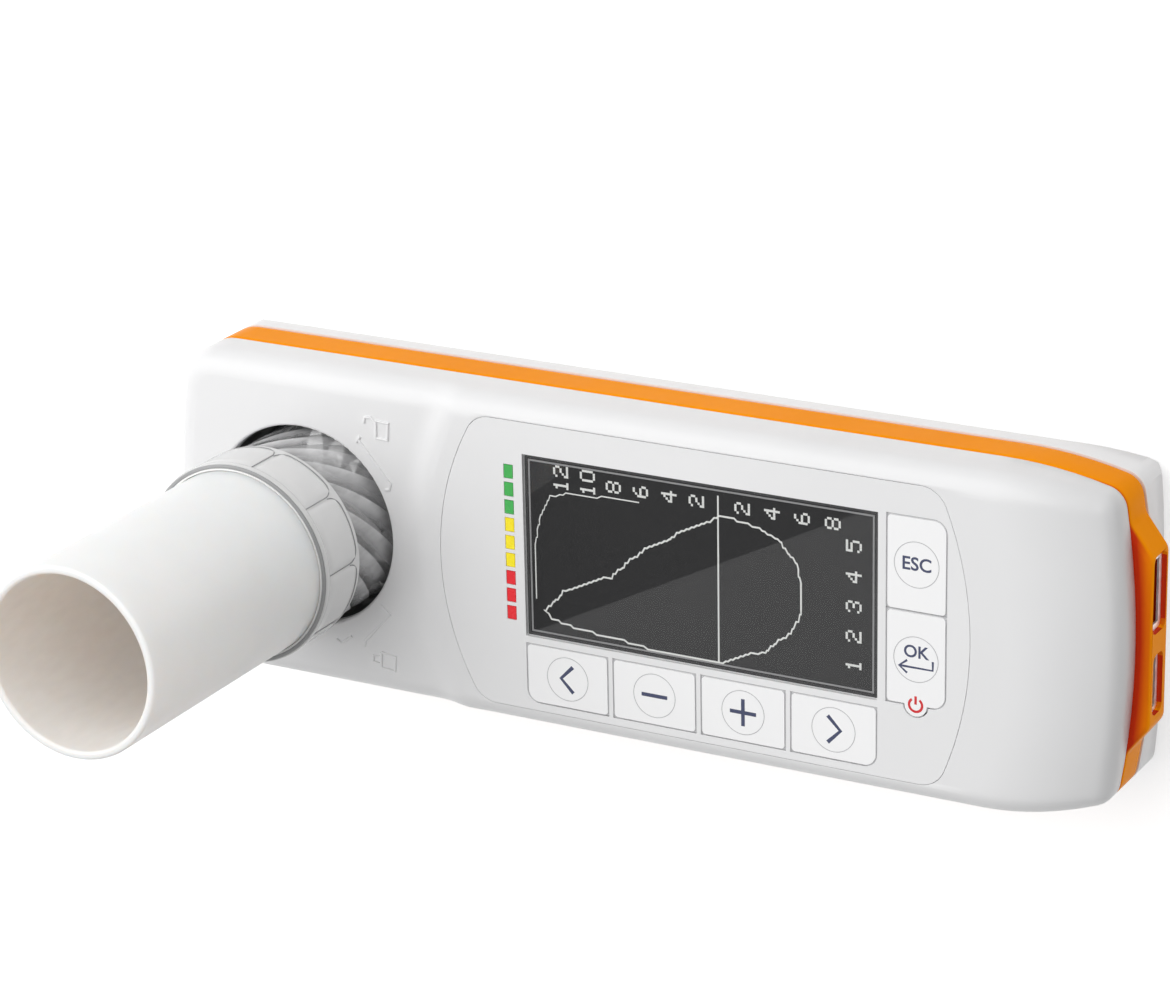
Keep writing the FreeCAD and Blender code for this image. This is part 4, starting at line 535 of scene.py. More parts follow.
def round_strokes(runs, width, closed=False):
    """Round strokes along runs of (x, y, z) points."""
    curve = bpy.data.curves.new("strokes", "CURVE")
    curve.dimensions = "3D"
    curve.bevel_depth = width * MM / 2
    curve.bevel_resolution = 2
    curve.use_fill_caps = True
    for run in runs:
        spline = curve.splines.new("POLY")
        spline.points.add(len(run) - 1)
        for point, place in zip(spline.points, run):
            point.co = (*(Vector(place) * MM), 1)
        spline.use_cyclic_u = closed
    return meshed(curve)


def stroke_mesh(runs, width, high, level, closed=False):
    """Low strokes along runs of (x, y) points, standing a little off a level."""
    mesh = round_strokes([[(*place, 0) for place in run] for run in runs], width, closed)
    mesh.transform(Matrix.Translation((0, 0, level * MM)) @ Matrix.Diagonal((1, 1, 2 * high / width, 1)))
    return mesh


def ring_points(x, y, radius, start=0, end=360, steps=48):
    """Points on a circle or on a part of it."""
    count = steps + (end - start < 360)
    turns = [math.radians(start + (end - start) * step / steps) for step in range(count)]
    return [(x + radius * math.cos(turn), y + radius * math.sin(turn)) for turn in turns]


def text_mesh(words, size, x, y, level):
    """Plain printed words, centred on a spot."""
    curve = bpy.data.curves.new("words", "FONT")
    curve.body = words
    curve.size = size * MM
    curve.align_x = "CENTER"
    curve.align_y = "CENTER"
    curve.extrude = INK_HIGH * MM / 2
    curve.offset = 0.05 * MM
    curve.resolution_u = 4
    mesh = meshed(curve)
    mesh.transform(Matrix.Translation((x * MM, y * MM, level * MM)))
    return mesh


def rounded(bm, geom, offset, segments, affect="EDGES"):
    """Round edges or corners of a bmesh."""
    bmesh.ops.bevel(bm, geom=geom, offset=offset * MM, offset_type="OFFSET", segments=segments,
                    profile=0.5, affect=affect, material=-1)


def plate(name, low, high, corner, edge):
    """A plate between two corners, with rounded plan corners and softened edges."""
    bm = bmesh.new()
    bmesh.ops.create_cube(bm, size=1)
    bmesh.ops.scale(bm, vec=(Vector(high) - Vector(low)) * MM, verts=bm.verts)
    bmesh.ops.translate(bm, vec=(Vector(high) + Vector(low)) / 2 * MM, verts=bm.verts)
    if corner:
        upright = [one for one in bm.edges if abs(one.verts[0].co.z - one.verts[1].co.z) > 1e-7]
        rounded(bm, upright, corner, 6)
    if edge:
        rims = [one for one in bm.edges if abs(one.verts[0].co.z - one.verts[1].co.z) < 1e-7
                and len(one.link_faces) == 2 and one.calc_face_angle() > 1]
        rounded(bm, rims, edge, 3)
    made = from_bmesh(name, bm, 40)
    normals = made.modifiers.new("normals", "WEIGHTED_NORMAL")
    normals.keep_sharp = True
    return made


def border_mesh(low, high, wide, level, thick, corner=0):
    """A flat frame just inside a rectangle that may have round corners."""
    bm = bmesh.new()
    bmesh.ops.create_grid(bm, x_segments=1, y_segments=1, size=0.5)
    bmesh.ops.scale(bm, vec=((high[0] - low[0]) * MM, (high[1] - low[1]) * MM, 1), verts=bm.verts)
    bmesh.ops.translate(bm, vec=((high[0] + low[0]) * MM / 2, (high[1] + low[1]) * MM / 2, level * MM),
                        verts=bm.verts)
    if corner:
        rounded(bm, bm.verts[:], corner, 6, "VERTICES")
    middle_faces = bm.faces[:]
    bmesh.ops.inset_region(bm, faces=middle_faces, use_boundary=True, thickness=wide * MM, depth=0)
    bmesh.ops.delete(bm, geom=middle_faces, context="FACES_ONLY")
    bmesh.ops.solidify(bm, geom=bm.faces[:], thickness=-thick * MM)
    bmesh.ops.recalc_face_normals(bm, faces=bm.faces)
    return mesh_from(bm)


def about_axis(radius, turn, height):
    """A point in metres from a radius, a turn in radians and a height about the turbine's axis."""
    return Vector((AXIS.x + radius * math.cos(turn), AXIS.y + radius * math.sin(turn), height)) * MM


def turned(bm, profile, steps=128):
    """Turn a closed profile of (radius, height) about the turbine's axis."""
    verts = [bm.verts.new(((AXIS.x + radius) * MM, AXIS.y * MM, height * MM)) for radius, height in profile]
    edges = [bm.edges.new((verts[at], verts[(at + 1) % len(verts)])) for at in range(len(verts))]
    bmesh.ops.spin(bm, geom=verts + edges, cent=(AXIS.x * MM, AXIS.y * MM, 0), axis=(0, 0, 1),
                   angle=math.tau, steps=steps, use_merge=True)
    bmesh.ops.recalc_face_normals(bm, faces=bm.faces)


def softened(profile, radius, steps=3):
    """A closed profile with each corner rounded by about a radius."""
    path = []
    count = len(profile)
    for at in range(count):
        before, corner, after = (Vector(profile[(at + side) % count]) for side in (-1, 0, 1))
        reach = min(radius, (before - corner).length * 0.45, (after - corner).length * 0.45)
        start = corner + (before - corner).normalized() * reach
        end = corner + (after - corner).normalized() * reach
        for step in range(steps + 1):
            share = step / steps
            path.append(tuple(start * (1 - share) ** 2 + corner * 2 * share * (1 - share) + end * share ** 2))
    return path


def soft_edges(node, width):
    """A small bevel on the sharp edges of a CAD node, over its welded mesh."""
    piece = NODES[node]
    weld = piece.modifiers.new("weld", "WELD")
    weld.merge_threshold = 1e-6
    bevel = piece.modifiers.new("edges", "BEVEL")
    bevel.limit_method = "ANGLE"
    bevel.angle_limit = math.radians(50)
    bevel.width = width
    bevel.segments = 2
    bevel.use_clamp_overlap = True
    bevel.harden_normals = True


def ring_profile(inner, outer, low, high):
    """The closed profile of a plain ring."""
    return [(inner, low), (outer, low), (outer, high), (inner, high)]


def cross(x, y, reach):
    """Two strokes that cross at a spot."""
    return [[(x - reach, y), (x + reach, y)], [(x, y - reach), (x, y + reach)]]


DIGITS = {
    "0": "01110 10001 10001 10001 10001 10001 01110", "1": "00100 01100 00100 00100 00100 00100 01110",
    "2": "01110 10001 00001 00110 01000 10000 11111", "3": "01110 10001 00001 00110 00001 10001 01110",
    "4": "00010 00110 01010 10010 11111 00010 00010", "5": "11111 10000 11110 00001 00001 10001 01110",
    "6": "00110 01000 10000 11110 10001 10001 01110", "8": "01110 10001 10001 01110 10001 10001 01110",
}


def digit_mesh(words, x, y, level, cell=0.37):
    """Digits made of the display's picture cells, lying on their side and centred on a spot."""
    bm = bmesh.new()
    pitch = 6  # cells from one digit to the next
    half = (len(words) * pitch - 1) / 2
    lit = [(row - 3, place * pitch + column + 0.5 - half) for place, digit in enumerate(words)
           for row, cells in enumerate(DIGITS[digit].split())
           for column, state in enumerate(cells) if state == "1"]
    for across, along in lit:
        cube = bmesh.ops.create_cube(bm, size=1)["verts"]
        bmesh.ops.scale(bm, vec=Vector((cell * 0.96, cell * 0.96, PICTURE_HIGH)) * MM, verts=cube)
        bmesh.ops.translate(bm, vec=Vector((x + across * cell, y + along * cell, level)) * MM, verts=cube)
    return mesh_from(bm)


def stepped(points, closed, cell=0.42):
    """A run of points walked in the small steps of the display's picture cells."""
    path = []
    count = len(points)
    for at in range(count if closed else count - 1):
        start = Vector(points[at])
        end = Vector(points[(at + 1) % count])
        steps = max(1, round((end - start).length / (cell * 2.4)))
        for step in range(steps):
            spot = start.lerp(end, step / steps)
            snapped = (round(spot.x / cell) * cell, round(spot.y / cell) * cell)
            if path and path[-1][0] != snapped[0] and path[-1][1] != snapped[1]:
                path.append((path[-1][0] * 0.55 + snapped[0] * 0.45, path[-1][1]))
            if not path or path[-1] != snapped:
                path.append(snapped)
    return path


def key_centre(key):
    """Where a key's symbol goes."""
    low, high = low_high(key)
    if key == "key_confirm":
        low.y = high.y - CONFIRM_DEEP
    return (low.x + high.x) / 2, (low.y + high.y) / 2


def key_symbol(key, x, y, level, width):
    """The strokes or letters of one key."""
    if key in ("key_left", "key_right"):
        way = -1 if key == "key_left" else 1
        angle = [(x - way * 0.95, y + 2.15), (x + way * 1.15, y), (x - way * 0.95, y - 2.15)]
        return [stroke_mesh([angle], width, INK_HIGH, level)]
    if key in ("key_minus", "key_plus"):
        strokes = cross(x, y, 2.2) if key == "key_plus" else cross(x, y, 2.2)[:1]
        return [stroke_mesh(strokes, width, INK_HIGH, level)]
    if key == "key_escape":
        return [text_mesh("ESC", 2.9, x, y, level)]
    enter = [[(x + 2.7, y + 0.1), (x + 2.7, y - 1.3), (x - 2.6, y - 1.3)],
             [(x - 1.4, y - 0.3), (x - 2.7, y - 1.3), (x - 1.4, y - 2.3)]]
    return [text_mesh("OK", 2.7, x, y + 1.1, level), stroke_mesh(enter, 0.36, INK_HIGH, level)]


# Operators

class SpirometerOperator:
    """What the operators share."""

    bl_options = {"REGISTER"}


class SPIROMETER_OT_finish_case(SpirometerOperator, bpy.types.Operator):
    """Give the shells, the band and every inner node their finish, and soften the moulded edges"""

    bl_idname = "spirometer.finish_case"
    bl_label = "Case and inner parts"

    def execute(self, context):
        look = settings()
        finishes = {
            "shell_white": moulded("white_moulding", look.shell_colour),
            "band_orange": band_plastic(look.band_colour, look.band_painted_shade_colour),
            "panel_grey": panel_print(look.panel_colour),
            "window_clear": window_sheet(),
            "display_grey": moulded("display_frame", (0.02, 0.02, 0.022), 0.3, 0.45),
            "key_grey": moulded("key_film", look.key_colour, 0.34, 0.44, 3200.0, 0.000006, 0.008),
            "scale_green": light_guide("green_guide", (0.06, 0.42, 0.09)),
            "scale_yellow": light_guide("yellow_guide", (0.95, 0.78, 0.02)),
            "scale_red": light_guide("red_guide", (0.80, 0.02, 0.03)),
            "board_green": circuit_board(),
            "steel": metal("bright_steel", (0.62, 0.63, 0.64)),
            "battery_wrap": shrink_wrap(),
            "chip_black": moulded("black_moulding", (0.02, 0.02, 0.022), 0.4, 0.55),
            "socket_dark": moulded("socket_moulding", (0.045, 0.047, 0.05), 0.3, 0.45),
            "lamp_dark": moulded("lamp_resin", (0.02, 0.006, 0.02), 0.08, 0.16, 900.0, 0.000002),
            "turbine_clear": clear_moulding("clear_moulding", (0.55, 0.56, 0.57), 0.03, 0.42),
            "cup_brass": metal("turned_brass", (0.72, 0.50, 0.22)),
            "vane_dark": moulded("vane_film", (0.03, 0.03, 0.032), 0.45, 0.6),
            "card_white": wound_card(look.card_colour, look.card_inside_colour),
        }
        for part in frame["record"]["subparts"]:
            piece = NODES[part["node"]]
            for slot in piece.material_slots:
                slot.material = finishes[part["material_slot"]]
        for node in ("front_shell", "mid_band", "rear_shell", "battery_door", "panel_film", *KEYS):
            soft_edges(node, look.edge_softness)
        return {"FINISHED"}


class SPIROMETER_OT_raise_marks(SpirometerOperator, bpy.types.Operator):
    """Moulded marks beside the turbine socket: open and closed padlock, turning arrows, a tick"""

    bl_idname = "spirometer.raise_marks"
    bl_label = "Moulded marks"

    def execute(self, context):
        level = LOW_FACE + 0.01
        open_lock = [[(-43.3, 16.6), (-41.2, 16.5), (-41.0, 19.3), (-43.2, 19.4), (-43.3, 16.6)],
                     [(-43.3, 18.9), (-44.2, 19.9), (-45.2, 19.7), (-45.4, 18.8)]]
        up_arrow = [[(-46.2, 16.5), (-46.9, 15.4)], [(-46.6, 15.9), (-41.0, 9.4), (-41.2, 8.4), (-42.0, 8.3)]]
        low_arrow = [[(-43.6, -11.2), (-42.0, -12.6), (-46.7, -17.7)], [(-46.7, -17.7), (-46.9, -18.7)]]
        shut_lock = [[(-43.8, -19.2), (-41.2, -19.6), (-41.4, -22.0), (-43.9, -21.8), (-43.8, -19.2)],
                     [(-43.9, -20.0), (-45.3, -20.0), (-45.4, -21.0), (-43.9, -21.2)]]
        tick = [[(-52.1, -18.4), (-51.2, -18.9), (-49.2, -17.4)]]
        marks = joined("socket_marks", [stroke_mesh(runs, 0.5, 0.24, level) for runs in (
            open_lock, up_arrow, low_arrow, shut_lock, tick)])
        finished(marks, NODES["front_shell"].material_slots[0].material, "case")
        return {"FINISHED"}


class SPIROMETER_OT_build_display(SpirometerOperator, bpy.types.Operator):
    """The dark display under its window, with its border, a breath curve and scale numbers"""

    bl_idname = "spirometer.build_display"
    bl_label = "Display"

    def execute(self, context):
        look = settings()
        low, high = WINDOW_LOW, WINDOW_HIGH
        glass = plate("window_glass", (low.x, low.y, low.z + 0.11), tuple(high), 0.5, 0.08)
        finished(glass, NODES["display_window"].material_slots[0].material, "case")
        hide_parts("display_window")
        screen = plate("display_screen", (low.x + 0.05, low.y + 0.05, SCREEN_LEVEL - 0.03),
                       (high.x - 0.05, high.y - 0.05, SCREEN_LEVEL), 0.4, 0)
        finished(screen, display_glass(look.screen_colour), "case")
        self.add_frame("display_border", 0.05, 0.62, printed("border_ink", (0.05, 0.05, 0.052)))
        self.add_frame("display_line", 0.67, 0.4, printed("line_ink", (0.36, 0.36, 0.365)))
        level = SCREEN_LEVEL + 0.015
        trace = joined("display_trace", self.traces(level) + self.digits(level))
        finished(trace, lit_marks("lit_cells", (0.76, 0.77, 0.75), 0.22), "case")
        return {"FINISHED"}

    def add_frame(self, name, inset, wide, ink):
        """A printed frame that runs round the display at an inset."""
        border = border_mesh((WINDOW_LOW.x + inset, WINDOW_LOW.y + inset),
                             (WINDOW_HIGH.x - inset, WINDOW_HIGH.y - inset), wide, SCREEN_LEVEL, PICTURE_HIGH)
        finished(joined(name, [border]), ink, "case")

    def traces(self, level):
        """The breath curve, a second curve and the centre line."""
        loop = [(-13.7, -6.6), (-10.3, -3.0), (-6.6, -1.2), (-2.3, 0.6), (0.6, 3.4), (3.7, 6.2),
                (8.6, 9.0), (13.5, 11.8), (16.3, 13.4), (20.6, 13.1), (23.7, 12.2), (26.3, 10.9),
                (29.0, 7.9), (30.0, 4.2), (29.7, -0.1), (28.7, -2.4), (26.5, -4.8), (23.8, -7.3),
                (20.0, -8.2), (16.6, -10.2), (10.1, -10.1), (4.5, -9.9), (-1.0, -9.3), (-7.5, -8.8),
                (-12.3, -7.9)]
        second = [(2.8, 13.5), (-4.0, 13.2), (-9.4, 13.1), (-12.0, 12.0), (-13.6, 9.5), (-14.7, 6.1),
                  (-15.1, 2.7), (-15.2, -0.6), (-15.2, -6.0)]
        centre = [(16.2, 16.6), (16.1, -10.2)]
        return [stroke_mesh([stepped(loop, True)], 0.29, PICTURE_HIGH, level, True),
                stroke_mesh([stepped(second, False)], 0.20, PICTURE_HIGH, level),
                stroke_mesh([centre], 0.27, PICTURE_HIGH, level)]

    def digits(self, level):
        """Scale numbers along the top and down the right side, lying on their side."""
        top = [("12", -10.4), ("10", -5.8), ("8", -1.4), ("6", 3.2), ("4", 8.0), ("2", 12.6), ("2", 20.2),
               ("4", 25.1), ("6", 30.0), ("8", 35.0)]
        side = [("5", 12.2), ("4", 7.4), ("3", 2.7), ("2", -2.0), ("1", -6.6)]
        return [*(digit_mesh(word, x, 15.2, level) for word, x in top),
                *(digit_mesh(word, 38.4, y, level) for word, y in side)]


class SPIROMETER_OT_print_keys(SpirometerOperator, bpy.types.Operator):
    """Symbols, thin rings and pale webs of the keys, and the power symbol on its tab"""

    bl_idname = "spirometer.print_keys"
    bl_label = "Key symbols"

    def execute(self, context):
        look = settings()
        self.add_skirts(look)
        ink = printed("symbol_ink", look.legend_colour)
        ring_ink = printed("ring_ink", (0.52, 0.52, 0.53))
        level = FACE + 0.005
        width = look.line_width / MM
        for key in KEYS:
            x, y = key_centre(key)
            body = key + "_body"
            circle = ring_points(x, y, look.ring_radius / MM)
            ring = joined(key + "_ring", [stroke_mesh([circle], 0.14, RING_HIGH, level, True)])
            finished(ring, ring_ink, body)
            symbol = joined(key + "_symbol", key_symbol(key, x, y, level, width))
            finished(symbol, ink, body)
        low, high = low_high("key_confirm")
        x, y = (low.x + high.x) / 2, low.y + 1.8
        power = joined("power_symbol", [
            stroke_mesh([ring_points(x, y, 1.05, 125, 415, 24)], 0.4, INK_HIGH, level),
            stroke_mesh([[(x, y + 1.4), (x, y + 0.1)]], 0.4, INK_HIGH, level)])
        finished(power, printed("power_ink", look.power_colour), "key_confirm_body")
        return {"FINISHED"}

    def add_skirts(self, look):
        """The soft web that shows as a pale line in the gap round each key."""
        web = moulded("key_skirt", look.skirt_colour, 0.45, 0.6)
        escape_low, escape_high = low_high("key_escape")
        for key in KEYS:
            low, high = low_high(key)
            if key == "key_confirm":
                low.y = high.y - (escape_high.y - escape_low.y)
            skirt = plate(key + "_skirt", (low.x - SKIRT_GAP, low.y - SKIRT_GAP, FACE - 0.5),
                          (high.x + SKIRT_GAP, high.y + SKIRT_GAP, FACE - 0.24), 0.75, 0.04)
            finished(skirt, web, key + "_body")


class SPIROMETER_OT_build_turbine(SpirometerOperator, bpy.types.Operator):
    """Clear turbine with its collar, front ring and grip pads, and the swept fins of both stators"""

    bl_idname = "spirometer.build_turbine"
    bl_label = "Turbine"

    def execute(self, context):
        look = settings()
        milky = clear_moulding("milky_moulding", (0.84, 0.84, 0.84), 0.62, 0.94)
        tube = self.build_tube()
        finished(tube, swirled_moulding(look.fin_count * 1.5), "turbine")
        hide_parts("turbine_body")
        finished(self.build_collar(look), milky, "turbine")
        # Darker clear moulding; on the grip pads' outlines it is painted shade along their edges.
        edges = clear_moulding("edge_shade", (0.40, 0.405, 0.41), 0.70, 0.92)
        ring = self.build_ring("turbine_ring", LIP_OUTER, 16.0, 42.2, 0.2)
        finished(ring, edges, "turbine")
        if look.grip_count:
            finished(self.build_outlines(look), edges, "turbine")
        bright = clear_moulding("bright_lip", (0.93, 0.93, 0.93), 0.9, 1.0)
        lip = self.build_ring("turbine_lip", LIP_INNER, LIP_OUTER, TUBE_TOP - 0.5, 0.12)
        finished(lip, bright, "turbine")
        fins = clear_moulding("fin_moulding", (0.80, 0.80, 0.805), 0.30, 0.80)
        for node, way in (("front_stator", 1), ("rear_stator", -1)):
            piece = self.build_stator(node + "_fins", node, way, look)
            finished(piece, fins, "turbine")
            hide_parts(node)
        return {"FINISHED"}

    def build_tube(self):
        """The clear tube with its two bayonet lugs."""
        bm = bmesh.new()
        turned(bm, softened(ring_profile(TUBE_INNER, TUBE_OUTER, TUBE_LOW, COLLAR_LOW), 0.2))
        for turn in (40, 220):
            self.add_lug(bm, math.radians(turn))
        return from_bmesh("turbine_tube", bm, 35)

    def build_collar(self, look):
        """The milky collar with its grip pads."""
        bm = bmesh.new()
        rib = COLLAR_RADIUS + 0.3
        profile = [(LIP_INNER, COLLAR_LOW), (COLLAR_RADIUS, COLLAR_LOW), (COLLAR_RADIUS, 41.4), (rib, 41.8),
                   (rib, 42.6), (COLLAR_RADIUS, 42.7), (LIP_INNER, 42.4)]
        turned(bm, softened(profile, 0.25))
        for turn in self.pad_turns(look):
            self.add_pad(bm, turn)
        return from_bmesh("turbine_collar", bm, 35)

    def build_ring(self, name, inner, outer, low, radius):
        """A plain ring up to the front of the turbine."""
        bm = bmesh.new()
        turned(bm, softened(ring_profile(inner, outer, low, TUBE_TOP), radius))
        return from_bmesh(name, bm, 35)

    def pad_turns(self, look):
        """Turns of the grip pads' middles, in radians."""
        return [math.tau * (step + 0.5) / look.grip_count for step in range(look.grip_count)]

    def build_outlines(self, look):
        """Fine dark lines round the grip pads, painted shade along their edges."""
        across, corner, low, high = 5.4, 2.0, 33.6, 41.5
        waves = [(1 - math.cos(part * math.pi / 12), 1 - math.sin(part * math.pi / 12)) for part in range(7)]
        path = [(-across, high), *((-across + corner * far, low + corner * near) for far, near in waves),
                *((across - corner * near, low + corner * far) for far, near in waves)]
        runs = [[about_axis(COLLAR_RADIUS + 0.07, turn + x / COLLAR_RADIUS, z) / MM
                 for x, z in self.subdivided(path)] for turn in self.pad_turns(look)]
        return joined("grip_outlines", [round_strokes(runs, 0.17)])

    def subdivided(self, path):
        """The path with its long runs cut up, so that it bends round the collar."""
        fine = []
        for start, end in zip(path, path[1:]):
            steps = max(1, round(math.dist(start, end) / 0.8))
            fine += [tuple(Vector(start).lerp(end, step / steps)) for step in range(steps)]
        return fine + [path[-1]]

    def add_pad(self, bm, turn):
        """One softly raised grip pad, bent round the collar."""
        half_width, half_height, level = 5.25, 3.8, 37.5
        for vert in bmesh.ops.create_grid(bm, x_segments=18, y_segments=12, size=0.5)["verts"]:
            across, up = vert.co.x * 2, vert.co.y * 2
            rise = min(1.0, (1 - abs(across) ** 4) * 4) * min(1.0, (1 - abs(up) ** 4) * 4)
            vert.co = about_axis(COLLAR_RADIUS - 0.04 + 0.24 * max(0.0, rise),
                                 turn + across * half_width / COLLAR_RADIUS, level + up * half_height)

    def add_lug(self, bm, turn):
        """One bayonet lug on the tube."""
        verts = bmesh.ops.create_cube(bm, size=1)["verts"]
        bmesh.ops.scale(bm, vec=(1.5 * MM, 6.9 * MM, 2.3 * MM), verts=verts)
        bmesh.ops.translate(bm, vec=(TUBE_OUTER * MM, 0, 6.55 * MM), verts=verts)
        bmesh.ops.rotate(bm, cent=(0, 0, 0), matrix=Matrix.Rotation(turn, 3, "Z"), verts=verts)
        bmesh.ops.translate(bm, vec=(AXIS.x * MM, AXIS.y * MM, 0), verts=verts)

    def build_stator(self, name, node, way, look):
        """Hub and swept fins of one stator."""
        low, high = (corner.z for corner in low_high(node))
        bm = bmesh.new()
        turned(bm, softened(ring_profile(1.4, HUB_RADIUS, low, high), 0.3), 48)
        for step in range(look.fin_count):
            self.add_fin(bm, math.tau * step / look.fin_count, low, high, way * look.fin_sweep,
                         way * look.fin_curl)
        return from_bmesh(name, bm, 35)

    def add_fin(self, bm, turn, low, high, sweep, curl):
        """One curled fin, swept about the axis from its rear to its front edge."""
        steps, parts = 14, 10
        fin = bmesh.new()
        ends = [fin.verts.new(about_axis(2.4 + 1.15 * part, curl * (part / parts) ** 1.5, low))
                for part in range(parts + 1)]
        edges = [fin.edges.new(pair) for pair in zip(ends, ends[1:])]
        bmesh.ops.spin(fin, geom=ends + edges, cent=(AXIS.x * MM, AXIS.y * MM, 0), axis=(0, 0, 1),
                       dvec=(0, 0, (high - low) * MM / steps), angle=sweep, steps=steps, use_merge=False)
        bmesh.ops.remove_doubles(fin, verts=fin.verts, dist=1e-7)
        bmesh.ops.recalc_face_normals(fin, faces=fin.faces)
        bmesh.ops.solidify(fin, geom=fin.faces[:], thickness=0.45 * MM)
        bmesh.ops.rotate(fin, cent=(AXIS.x * MM, AXIS.y * MM, 0), matrix=Matrix.Rotation(turn, 3, "Z"),
                         verts=fin.verts)
        mesh = mesh_from(fin)
        bm.from_mesh(mesh)
        bpy.data.meshes.remove(mesh)


class SPIROMETER_OT_fit_small_parts(SpirometerOperator, bpy.types.Operator):
    """Metal faces and contacts of the two sockets, and dark crosses of painted shade on the screws in place
    of their driver recesses
    """

    bl_idname = "spirometer.fit_small_parts"
    bl_label = "Sockets and screws"

    def execute(self, context):
        gold = metal("contact_gold", (0.78, 0.56, 0.22), 0.2, 0.3)
        nickel = metal("socket_nickel", (0.93, 0.93, 0.92), 0.45, 0.55, (1, 1, 1))
        level = low_high("mid_band")[1].x - PORT_DEPTH
        upright = Matrix(((0, 0, 1, 0), (1, 0, 0, 0), (0, 1, 0, 0), (0, 0, 0, 1)))
        for node, (y, across, high, rim) in PORT_FACES.items():
            ring = border_mesh((y - across / 2, BOSS_LEVEL - high / 2),
                               (y + across / 2, BOSS_LEVEL + high / 2), rim, level, 0.35, 1.05)
            ring.transform(upright)
            finished(joined(node + "_face", [ring]), nickel, "case")
        for node, count in (("charging_port", 5), ("sensor_port", 9)):
            low, high = low_high(node)
            step = (high.y - low.y - 3.2) / (count - 1)
            rows = [low.y + 1.6 + step * at for at in range(count)]
            strips = stroke_mesh([[(high.x - 5.5, y), (high.x - 2.0, y)] for y in rows], 0.34, 0.05,
                                 (low.z + high.z) / 2 + 0.36)
            finished(joined(node + "_contacts", [strips]), gold, "case")
        # Painted shade: dark crosses laid on the screw heads stand in for the shade in their driver recesses.
        painted_recess_shade = moulded("recess_shade", (0.03, 0.03, 0.032), 0.5, 0.6)
        low, high = low_high("case_screws")
        crosses = [stroke_mesh(cross(x, y, 1.2), 0.5, 0.04, low.z)
                   for x in (low.x + 2.3, high.x - 2.3) for y in (low.y + 2.3, high.y - 2.3)]
        crosses.append(stroke_mesh(cross(*middle("door_screw").xy, 0.9), 0.4, 0.004, 0.005))
        finished(joined("screw_recesses", crosses), painted_recess_shade, "case")
        return {"FINISHED"}


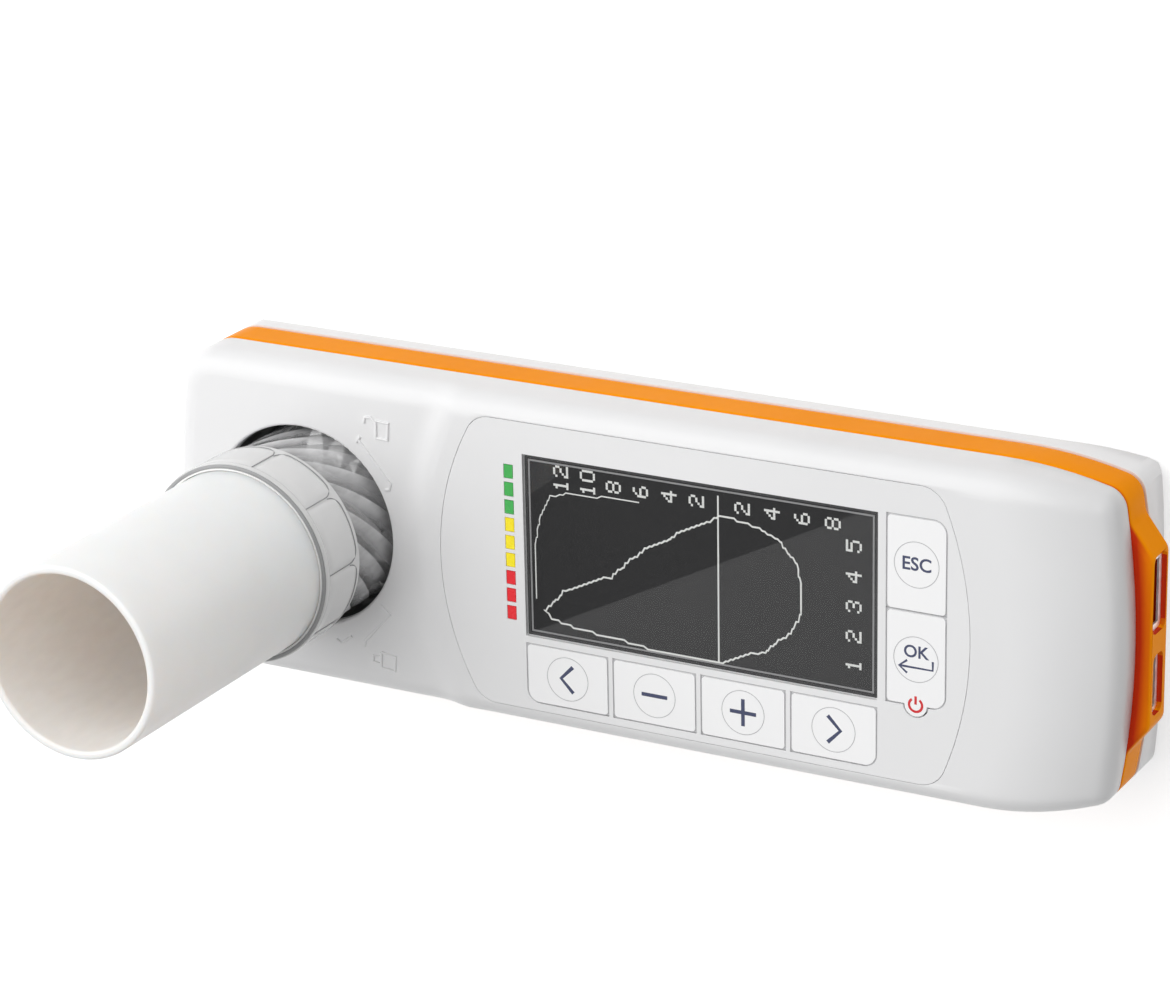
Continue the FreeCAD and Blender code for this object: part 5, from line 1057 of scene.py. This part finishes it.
class SPIROMETER_OT_set_stage(SpirometerOperator, bpy.types.Operator):
    """Pale floor, white surround, soft lamps, the shade in the display and the camera"""

    bl_idname = "spirometer.set_stage"
    bl_label = "Stage"

    def execute(self, context):
        bm = bmesh.new()
        bmesh.ops.create_grid(bm, x_segments=1, y_segments=1, size=3)
        bmesh.ops.translate(bm, vec=(0, 0, -0.0001), verts=bm.verts)
        floor = from_bmesh("floor", bm)
        floor.data.materials.append(pale_floor())
        self.light_world()
        power = settings().lamp_power
        tube = NODES["mouthpiece"], bpy.data.objects["turbine_collar"]
        band = NODES["mid_band"], NODES["rear_shell"]
        self.add_lamp("key_lamp", (-0.25, 0.34, 0.62), 1.0, power)
        self.add_lamp("rim_lamp", (0.62, 0.06, 0.08), 0.12, power * 0.04)
        self.add_fill("tube_fill", (0.35, 0.35, 0.25), power * 0.14, tube)
        self.add_fill("band_fill", (0.50, 0.22, 0.20), power * 0.09, band)
        self.add_card()
        self.add_camera()
        context.scene.view_settings.view_transform = "Standard"
        return {"FINISHED"}

    def light_world(self):
        """A white surround, seen at full strength, that lights at less and more from the left."""
        world = bpy.data.worlds.new("surround")
        bpy.context.scene.world = world
        world.use_nodes = True
        tree = world.node_tree
        tree.nodes.clear()
        seen, rays = seen_directly(tree)
        through = combined(tree, "MAXIMUM", seen, rays.outputs["Is Transmission Ray"])
        to_right = split(tree, tree.nodes.new("ShaderNodeTexCoord").outputs["Generated"])[0]
        white = (1, 1, 1, 1)
        lighting = add(tree, "ShaderNodeBackground", Color=white,
                       links=[("Strength", ranged(tree, to_right, -1, 1, 0.60, 0.14))])
        showing = add(tree, "ShaderNodeBackground", Color=white, Strength=1.0)
        mix = add(tree, "ShaderNodeMixShader",
                  links=[("Fac", through), (1, lighting.outputs[0]), (2, showing.outputs[0])])
        out = tree.nodes.new("ShaderNodeOutputWorld")
        tree.links.new(mix.outputs[0], out.inputs["Surface"])

    def add_card(self):
        """A dark card above the object, seen only as the slanting shade on the display."""
        mirrored_eye = Vector((CAMERA_PLACE.x, CAMERA_PLACE.y, 2 * SCREEN_LEVEL - CAMERA_PLACE.z))
        first, second = (Vector((*end, SCREEN_LEVEL)) for end in SHADE_EDGE)
        beyond, rise, width = (second - first) * 0.6, 0.9, 90
        near, far = (spot + (spot - mirrored_eye) * rise for spot in (first - beyond, second + beyond))
        away = Vector((near.y - far.y, far.x - near.x, 0)).normalized() * width
        bm = bmesh.new()
        bm.faces.new([bm.verts.new(corner * MM) for corner in (near, far, far + away, near + away)])
        card = from_bmesh("shade_card", bm)
        card.data.materials.append(card_black())
        card.visible_camera = card.visible_diffuse = False
        card.visible_transmission = card.visible_shadow = False

    def add_lamp(self, name, place, size, power):
        """A square soft lamp that looks at the middle of the object, with its place and size in metres."""
        lamp = bpy.data.lights.new(name, "AREA")
        lamp.size = size
        lamp.energy = power
        holder = linked(name, lamp)
        holder.location = place
        holder.rotation_euler = (Vector((0, 0, 0.02)) - Vector(place)).to_track_quat("-Z", "Y").to_euler()
        return holder

    def add_fill(self, name, place, power, pieces):
        """A weak soft lamp that lights only the named pieces."""
        lit = bpy.data.collections.new(name)
        for piece in pieces:
            lit.objects.link(piece)
        lamp = self.add_lamp(name, place, 0.4, power)
        lamp.light_linking.receiver_collection = lit

    def add_camera(self):
        """The camera fitted to the photograph."""
        lens = bpy.data.cameras.new("camera")
        lens.sensor_fit = "HORIZONTAL"
        lens.sensor_width = 36
        lens.lens = CAMERA_LENS
        lens.clip_start = 0.01
        holder = linked("camera", lens)
        holder.matrix_world = Matrix.Translation(CAMERA_PLACE * MM) @ Matrix(CAMERA_TURN).to_4x4()
        bpy.context.scene.camera = holder


class SPIROMETER_PT_pieces(bpy.types.Panel):
    """Lists the pieces and their settings"""

    bl_idname = "SPIROMETER_PT_pieces"
    bl_label = "Spirometer"
    bl_space_type = "VIEW_3D"
    bl_region_type = "UI"
    bl_category = "Spirometer"

    def draw(self, context):
        layout = self.layout
        for operator in OPERATORS:
            layout.operator(operator.bl_idname)
        column = layout.column()
        for name in SpirometerSettings.__annotations__:
            column.prop(context.scene.spirometer, name)


OPERATORS = (
    SPIROMETER_OT_finish_case,
    SPIROMETER_OT_raise_marks,
    SPIROMETER_OT_build_display,
    SPIROMETER_OT_print_keys,
    SPIROMETER_OT_build_turbine,
    SPIROMETER_OT_fit_small_parts,
    SPIROMETER_OT_set_stage,
)
CLASSES = (SpirometerSettings, *OPERATORS, SPIROMETER_PT_pieces)


def register():
    """Register every class and put the settings on the scene."""
    for one in CLASSES:
        bpy.utils.register_class(one)
    bpy.types.Scene.spirometer = bpy.props.PointerProperty(type=SpirometerSettings)


def unregister():
    """Undo register."""
    del bpy.types.Scene.spirometer
    for one in reversed(CLASSES):
        bpy.utils.unregister_class(one)


def main():
    """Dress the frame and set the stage."""
    register()
    bpy.ops.spirometer.finish_case()
    bpy.ops.spirometer.raise_marks()
    bpy.ops.spirometer.build_display()
    bpy.ops.spirometer.print_keys()
    bpy.ops.spirometer.build_turbine()
    bpy.ops.spirometer.fit_small_parts()
    bpy.ops.spirometer.set_stage()


if __name__ == "__main__":
    main()
